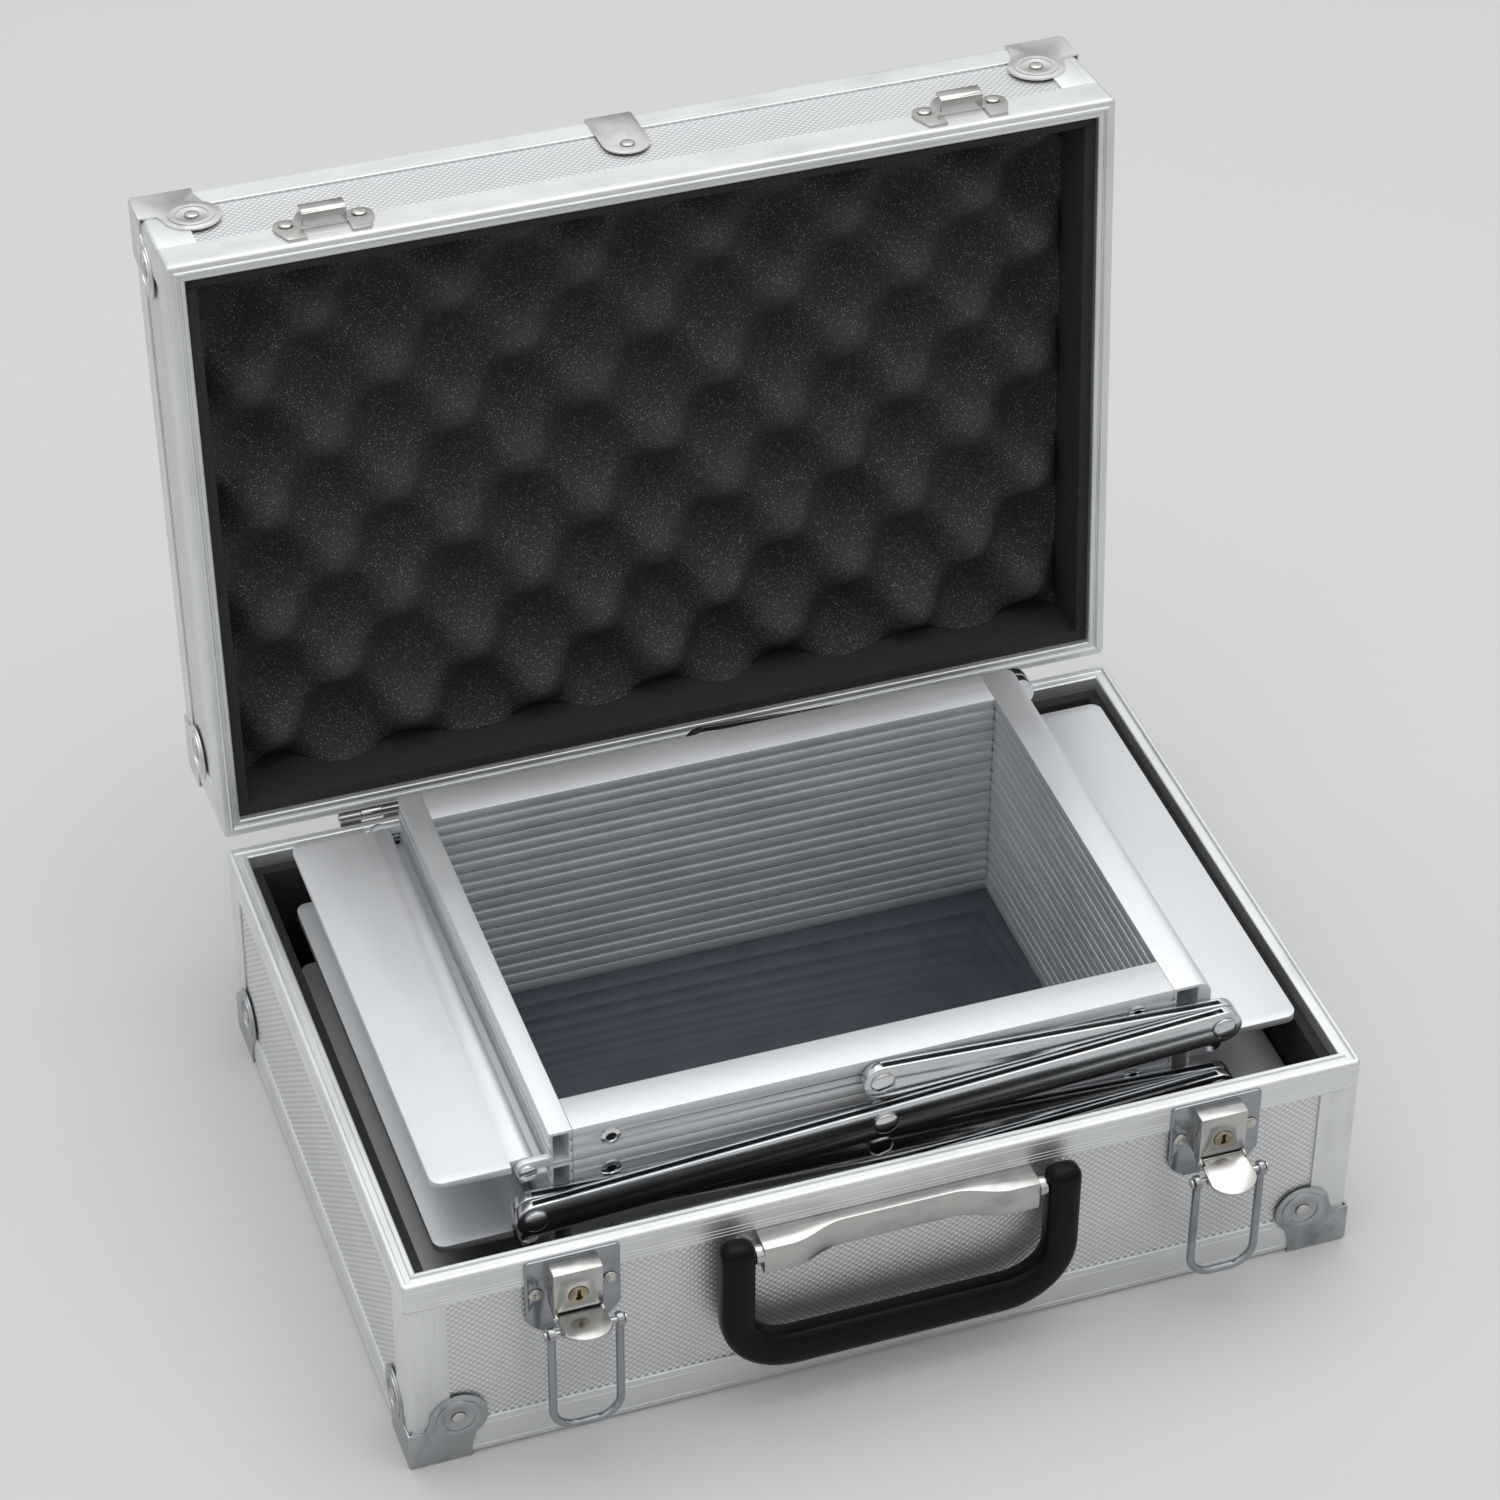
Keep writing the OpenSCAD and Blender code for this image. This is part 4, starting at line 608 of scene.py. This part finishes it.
def rails(name, section, node, place):
    """Four mitred rails round the case from a closed section of inset and height."""
    points, faces = [], []
    sides = [(0, 0, 0, case_w), (case_w, 0, 90, case_d),
             (case_w, case_d, 180, case_w), (0, case_d, 270, case_d)]
    for x0, y0, turn, length in sides:
        start = len(points)
        c, s = round(math.cos(math.radians(turn))), round(math.sin(math.radians(turn)))
        rows = []
        for inset, height in section:
            half = corner_path(inset)
            row = [(x + mitre_gap, y, height) for x, y in half]
            row += [(length - x - mitre_gap, y, height) for x, y in reversed(half)]
            rows.append(row)
        wide = len(rows[0])
        for row in rows:
            points += [(x0 + c * x - s * y, y0 + s * x + c * y, z) for x, y, z in row]
        count = len(section)
        for i in range(count):
            j = (i + 1) % count
            for k in range(wide - 1):
                faces.append((start + i * wide + k, start + j * wide + k,
                              start + j * wide + k + 1, start + i * wide + k + 1))
        faces.append([start + i * wide for i in range(count)])
        faces.append([start + i * wide + wide - 1 for i in reversed(range(count))])
    return new_piece(name, points, faces, node, place, sharp=28)


profile_t = 1.0
rim_w = 7.5
board_in = 6.2
base_band = 14.0
lid_band = 17.0
flange = 12.0
hem = 0.3
rim_round = 1.4
mouth_round = 0.8
web = 2.4
bead_at, bead_r = 3.75, 0.8


def base_rim_section():
    top = rim_z
    bottom = rim_z - base_band
    grooves = [bottom + 1.9, bottom + 3.6, bottom + 5.3, top - 3.2]
    channel = [(2.1, top), (2.4, top - 1.0), (2.7, top - 1.2),
               (4.8, top - 1.2), (5.1, top - 1.0), (5.4, top)]
    return (grooved(0, bottom + hem, top - rim_round, grooves)
            + arc(rim_round, top - rim_round, rim_round, 180, 90) + channel
            + arc(rim_w - mouth_round, top - mouth_round, mouth_round, 90, 0)
            + [(rim_w, top - flange), (board_in, top - flange), (board_in, top - web),
               (profile_t, top - web), (profile_t, bottom), (hem, bottom)])


def lid_rim_section():
    grooves = [lid_band - 2.2, lid_band - 4.4, 6.4, 3.6]
    bead = [(2.5, 0)] + arc(bead_at, 0, bead_r, 180, 360)
    return (grooved(0, lid_band - hem, rim_round, grooves)
            + arc(rim_round, rim_round, rim_round, 180, 270)
            + bead + [(5.0, 0), (5.2, 0.35), (5.5, 0.35), (5.7, 0)]
            + arc(rim_w - mouth_round, mouth_round, mouth_round, -90, 0)
            + [(rim_w, flange), (board_in, flange), (board_in, web),
               (profile_t, web), (profile_t, lid_band), (hem, lid_band)])


edging_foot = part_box("base_bottom_edging")[0].z / MM
base_edging = 18.0
lid_height = 60.5
lid_edging = 13.0
edging_round = 1.3


def base_edging_section():
    top = edging_foot + base_edging
    grooves = [top - 3.2, edging_foot + 3.4]
    return (grooved(0, top - hem, edging_foot + edging_round, grooves)
            + arc(edging_round, edging_foot + edging_round, edging_round, 180, 270)
            + [(base_edging, edging_foot), (base_edging, edging_foot + profile_t),
               (profile_t, edging_foot + profile_t), (profile_t, top), (hem, top)])


def lid_edging_section():
    low = lid_height - lid_edging
    grooves = [low + 2.6, lid_height - 3.4]
    return (grooved(0, low + hem, lid_height - edging_round, grooves)
            + arc(edging_round, lid_height - edging_round, edging_round, 180, 90)
            + [(base_edging, lid_height), (base_edging, lid_height - profile_t),
               (profile_t, lid_height - profile_t), (profile_t, low), (hem, low)])


for made in (rails("base_rim_rails", base_rim_section(), "base_rim_frame", BASE),
             rails("lid_rim_rails", lid_rim_section(), "lid_rim_frame", LID),
             rails("base_edging_rails", base_edging_section(), "base_bottom_edging", BASE),
             rails("lid_edging_rails", lid_edging_section(), "lid_top_edging", LID)):
    print(made.name, "faces", len(made.data.polygons))

# %% [markdown]
# ## The stand
# Seven hollow frames, cut from one satin extrusion, are joined in a zig-zag by hinge beads along
# their sides. Chromed channels cross at the front and the back and keep the frames level.

# %% Stand
frame_count = sum(node.startswith("frame_") for node in frame["nodes"])
for k in range(1, frame_count + 1):
    rounded(f"frame_{k}", 0.35)
    rounded(f"fittings_{k}", 0.3, clamp=True, sockets=True)
for k in range(2, frame_count + 1):
    rounded(f"link_{k}", 0.3)

# %% [markdown]
# ## The foam lining
# The lid holds a sheet of egg-crate foam: two sheets cut from one block by wavy rollers, so that
# its humps and hollows follow two crossed waves. A fine height field gives the humps their round
# shoulders. A slow drift of their places and small random bumps make no two quite alike, as in
# cut foam.

# %% Foam pieces
inner_face = 12.5
board_t = 5.2
foam_margin = inner_face + 0.2
crest_z = 16.0
hollow_z = 40.0
crate_step = 28.3
crate_first = (33.5, 42.3)
foam_back = lid_height - profile_t - board_t
foam_grid = 2.2
thinnest = 4
drift_depth = 0.25
cut_roughness = 0.12
random_bumps = np.random.default_rng(7)


def egg_crate():
    """Humps towards the lid's mouth over a flat back, as one closed mesh."""
    nx = round((case_w - 2 * foam_margin) / foam_grid)
    ny = round((case_d - 2 * foam_margin) / foam_grid)
    xs = np.linspace(foam_margin, case_w - foam_margin, nx + 1)
    ys = np.linspace(foam_margin, case_d - foam_margin, ny + 1)
    gx, gy = np.meshgrid(xs, ys, indexing="ij")
    drift = sum(amp * np.sin(gx / lx + px) * np.sin(gy / ly + py) for amp, lx, ly, px, py in (
        (1.6, 31, 37, 0.3, 1.1), (1.1, 17, 23, 2.0, 0.4), (0.7, 9.5, 12, 0.9, 2.2)))
    wave = np.cos(math.pi * (gx + drift - crate_first[0]) / crate_step)
    wave = wave * np.cos(math.pi * (gy + drift - crate_first[1]) / crate_step)
    rise = 0.5 - 0.5 * wave
    gz = hollow_z + (crest_z - hollow_z) * rise + drift_depth * drift
    gz += random_bumps.normal(0, cut_roughness, gz.shape)
    gz = np.clip(gz, crest_z, foam_back - thinnest)
    points = [tuple(p) for p in np.stack([gx, gy, gz], -1).reshape(-1, 3)]
    across = ny + 1
    faces = [(i * across + j, i * across + j + 1, (i + 1) * across + j + 1, (i + 1) * across + j)
             for i in range(nx) for j in range(ny)]
    rim = [i * across for i in range(nx)] + [nx * across + j for j in range(ny)]
    rim += [i * across + ny for i in range(nx, 0, -1)] + [j for j in range(ny, 0, -1)]
    start = len(points)
    points += [(points[i][0], points[i][1], foam_back - 0.1) for i in rim]
    count = len(rim)
    faces += [(rim[i], rim[(i + 1) % count], start + (i + 1) % count, start + i)
              for i in range(count)]
    faces.append([start + i for i in reversed(range(count))])
    return new_piece("egg_crate_foam_sheet", points, faces, "lid_egg_crate_foam", LID, sharp=80)


crate = egg_crate()
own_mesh(crate)

for node, place in (("base_wall_foam", BASE), ("base_floor_foam", BASE), ("lid_wall_foam", LID)):
    rounded(node, 0.5, place)
sheet_w, sheet_d = case_w - 2 * foam_margin, case_d - 2 * foam_margin
print("egg-crate sheet", round(sheet_w, 1), "x", round(sheet_d, 1), "mm")

# %% [markdown]
# ## The grip
# The grip is one moulding that hangs from two pins: flat arms that swell into a round bar. Rings
# of a rounded rectangle are strung along its path, close together where it bends. A power below
# one makes the ring's corners squarer than an ellipse.

# %% Grip
grip_low, grip_high = [BASE.inverted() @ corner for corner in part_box("handle_grip")]
grip_sides = 28
arm_w, bar_h = 14.0, 17.0
arm_round = 4.2
grip_square = 0.62
tip_w, tip_d = 0.3, 0.25
tip_rings, arm_rings, bend_rings, bar_rings = 4, 6, 12, 4
bend_r = 31.0
grip_mid_x = (grip_low.x + grip_high.x) / 2
grip_y = (grip_low.y + grip_high.y) / 2
grip_depth = (grip_high.y - grip_low.y) / 2


def grip_ring(mid_x, mid_z, across_x, across_z, half, depth):
    """One rounded rectangle across the grip's path, half and depth from its middle to its edges."""
    ring = []
    for i in range(grip_sides):
        angle = 2 * math.pi * i / grip_sides
        c, s = math.cos(angle), math.sin(angle)
        u = math.copysign(abs(c) ** grip_square, c)
        v = math.copysign(abs(s) ** grip_square, s)
        ring.append((mid_x + across_x * half * u, grip_y + depth * v, mid_z + across_z * half * u))
    return ring


def grip():
    """Rings for the left half, from the arm's round top through the bend, then the same mirrored."""
    arm_x = grip_low.x + arm_w / 2
    arm_top = grip_high.z - arm_round
    bend_x, bend_z = grip_low.x + bend_r, grip_low.z + bend_r
    rings = []
    for i in range(tip_rings + 1):
        t = math.radians(90 * i / tip_rings)
        half = arm_w / 2 * (tip_w + (1 - tip_w) * math.sin(t))
        depth = grip_depth * (tip_d + (1 - tip_d) * math.sin(t))
        rings.append(grip_ring(arm_x, arm_top + arm_round * math.cos(t), 1, 0, half, depth))
    for i in range(1, arm_rings):
        height = arm_top - i * (arm_top - bend_z) / arm_rings
        rings.append(grip_ring(arm_x, height, 1, 0, arm_w / 2, grip_depth))
    for i in range(bend_rings + 1):
        t = math.radians(90 * i / bend_rings)
        out = Vector((bend_x - bend_r * math.cos(t), bend_z - bend_r * math.sin(t)))
        into = Vector((bend_x - (bend_r - arm_w) * math.cos(t),
                       bend_z - (bend_r - bar_h) * math.sin(t)))
        middle = (out + into) / 2
        across = (into - out).normalized()
        half = (into - out).length / 2
        rings.append(grip_ring(middle.x, middle.y, across.x, across.y, half, grip_depth))
    for i in range(1, bar_rings + 1):
        along = bend_x + (grip_mid_x - bend_x) * i / bar_rings
        rings.append(grip_ring(along, grip_low.z + bar_h / 2, 0, 1, bar_h / 2, grip_depth))
    rings += [[(2 * grip_mid_x - x, y, z) for x, y, z in ring] for ring in reversed(rings[:-1])]
    points = [point for ring in rings for point in ring]
    faces = [(k * grip_sides + i, (k + 1) * grip_sides + i,
              (k + 1) * grip_sides + (i + 1) % grip_sides, k * grip_sides + (i + 1) % grip_sides)
             for k in range(len(rings) - 1) for i in range(grip_sides)]
    faces.append(list(range(grip_sides)))
    faces.append([(len(rings) - 1) * grip_sides + i for i in reversed(range(grip_sides))])
    return new_piece("moulded_grip", points, faces, "handle_grip", BASE, sharp=60)


print("grip faces", len(grip().data.polygons))

# %% [markdown]
# ## The studio
# A pale floor and a bright overcast world with a darker horizon: the satin metal stays calm, and
# the chrome finds something dark to mirror. A wide lamp above gives the soft main light.

# %% Studio
floor_half = 12.0


def stage_floor():
    """A plain pale floor that reaches past all that the scene's own camera sees."""
    mesh = bpy.data.meshes.new("floor")
    corners = [(x * floor_half, y * floor_half, 0) for x, y in ((-1, -1), (1, -1), (1, 1), (-1, 1))]
    mesh.from_pydata(corners, [], [(0, 1, 2, 3)])
    floor = bpy.data.objects.new("floor", mesh)
    bpy.context.scene.collection.objects.link(floor)
    material, tree, surface = new_finish("pale_floor", Roughness=0.9)
    surface.inputs["Base Color"].default_value = linear("#c4c4c4")
    mesh.materials.append(material)


def soft_lamp(name, place, target, size, power):
    """A wide lamp at a place in metres, turned to its target, with its power in watts."""
    data = bpy.data.lights.new(name, "AREA")
    data.shape = "RECTANGLE"
    data.size, data.size_y = size
    data.energy = power
    lamp = bpy.data.objects.new(name, data)
    lamp.location = place
    lamp.rotation_euler = (Vector(target) - Vector(place)).to_track_quat("-Z", "Y").to_euler()
    bpy.context.scene.collection.objects.link(lamp)


def studio_world():
    """An overcast sky by height: white above, and a darker warm band from the horizon down."""
    world = bpy.data.worlds.new("studio")
    bpy.context.scene.world = world
    world.use_nodes = True
    tree = world.node_tree
    tree.nodes.clear()
    coordinates = add(tree, "ShaderNodeTexCoord")
    split = add(tree, "ShaderNodeSeparateXYZ", {0: coordinates.outputs["Generated"]})
    height = add(tree, "ShaderNodeMapRange", {"Value": split.outputs["Z"], "From Min": -1.0})
    sky = add(tree, "ShaderNodeValToRGB", {"Fac": height.outputs[0]}, stops=[
        (0.0, "#84817e"), (0.5, "#94908c"), (0.58, "#b6b4b1"), (0.68, "#ebedef"), (1.0, "#ffffff")])
    background = add(tree, "ShaderNodeBackground", {"Color": sky.outputs["Color"], "Strength": 1.05})
    add(tree, "ShaderNodeOutputWorld", {"Surface": background.outputs[0]})


stage_floor()
studio_world()
soft_lamp("overhead", (0.1, 0.2, 1.7), (0, 0, 0.1), (1.8, 1.6), 12)
print("lamps", len(bpy.data.lights), "floor", 2 * floor_half, "m wide")
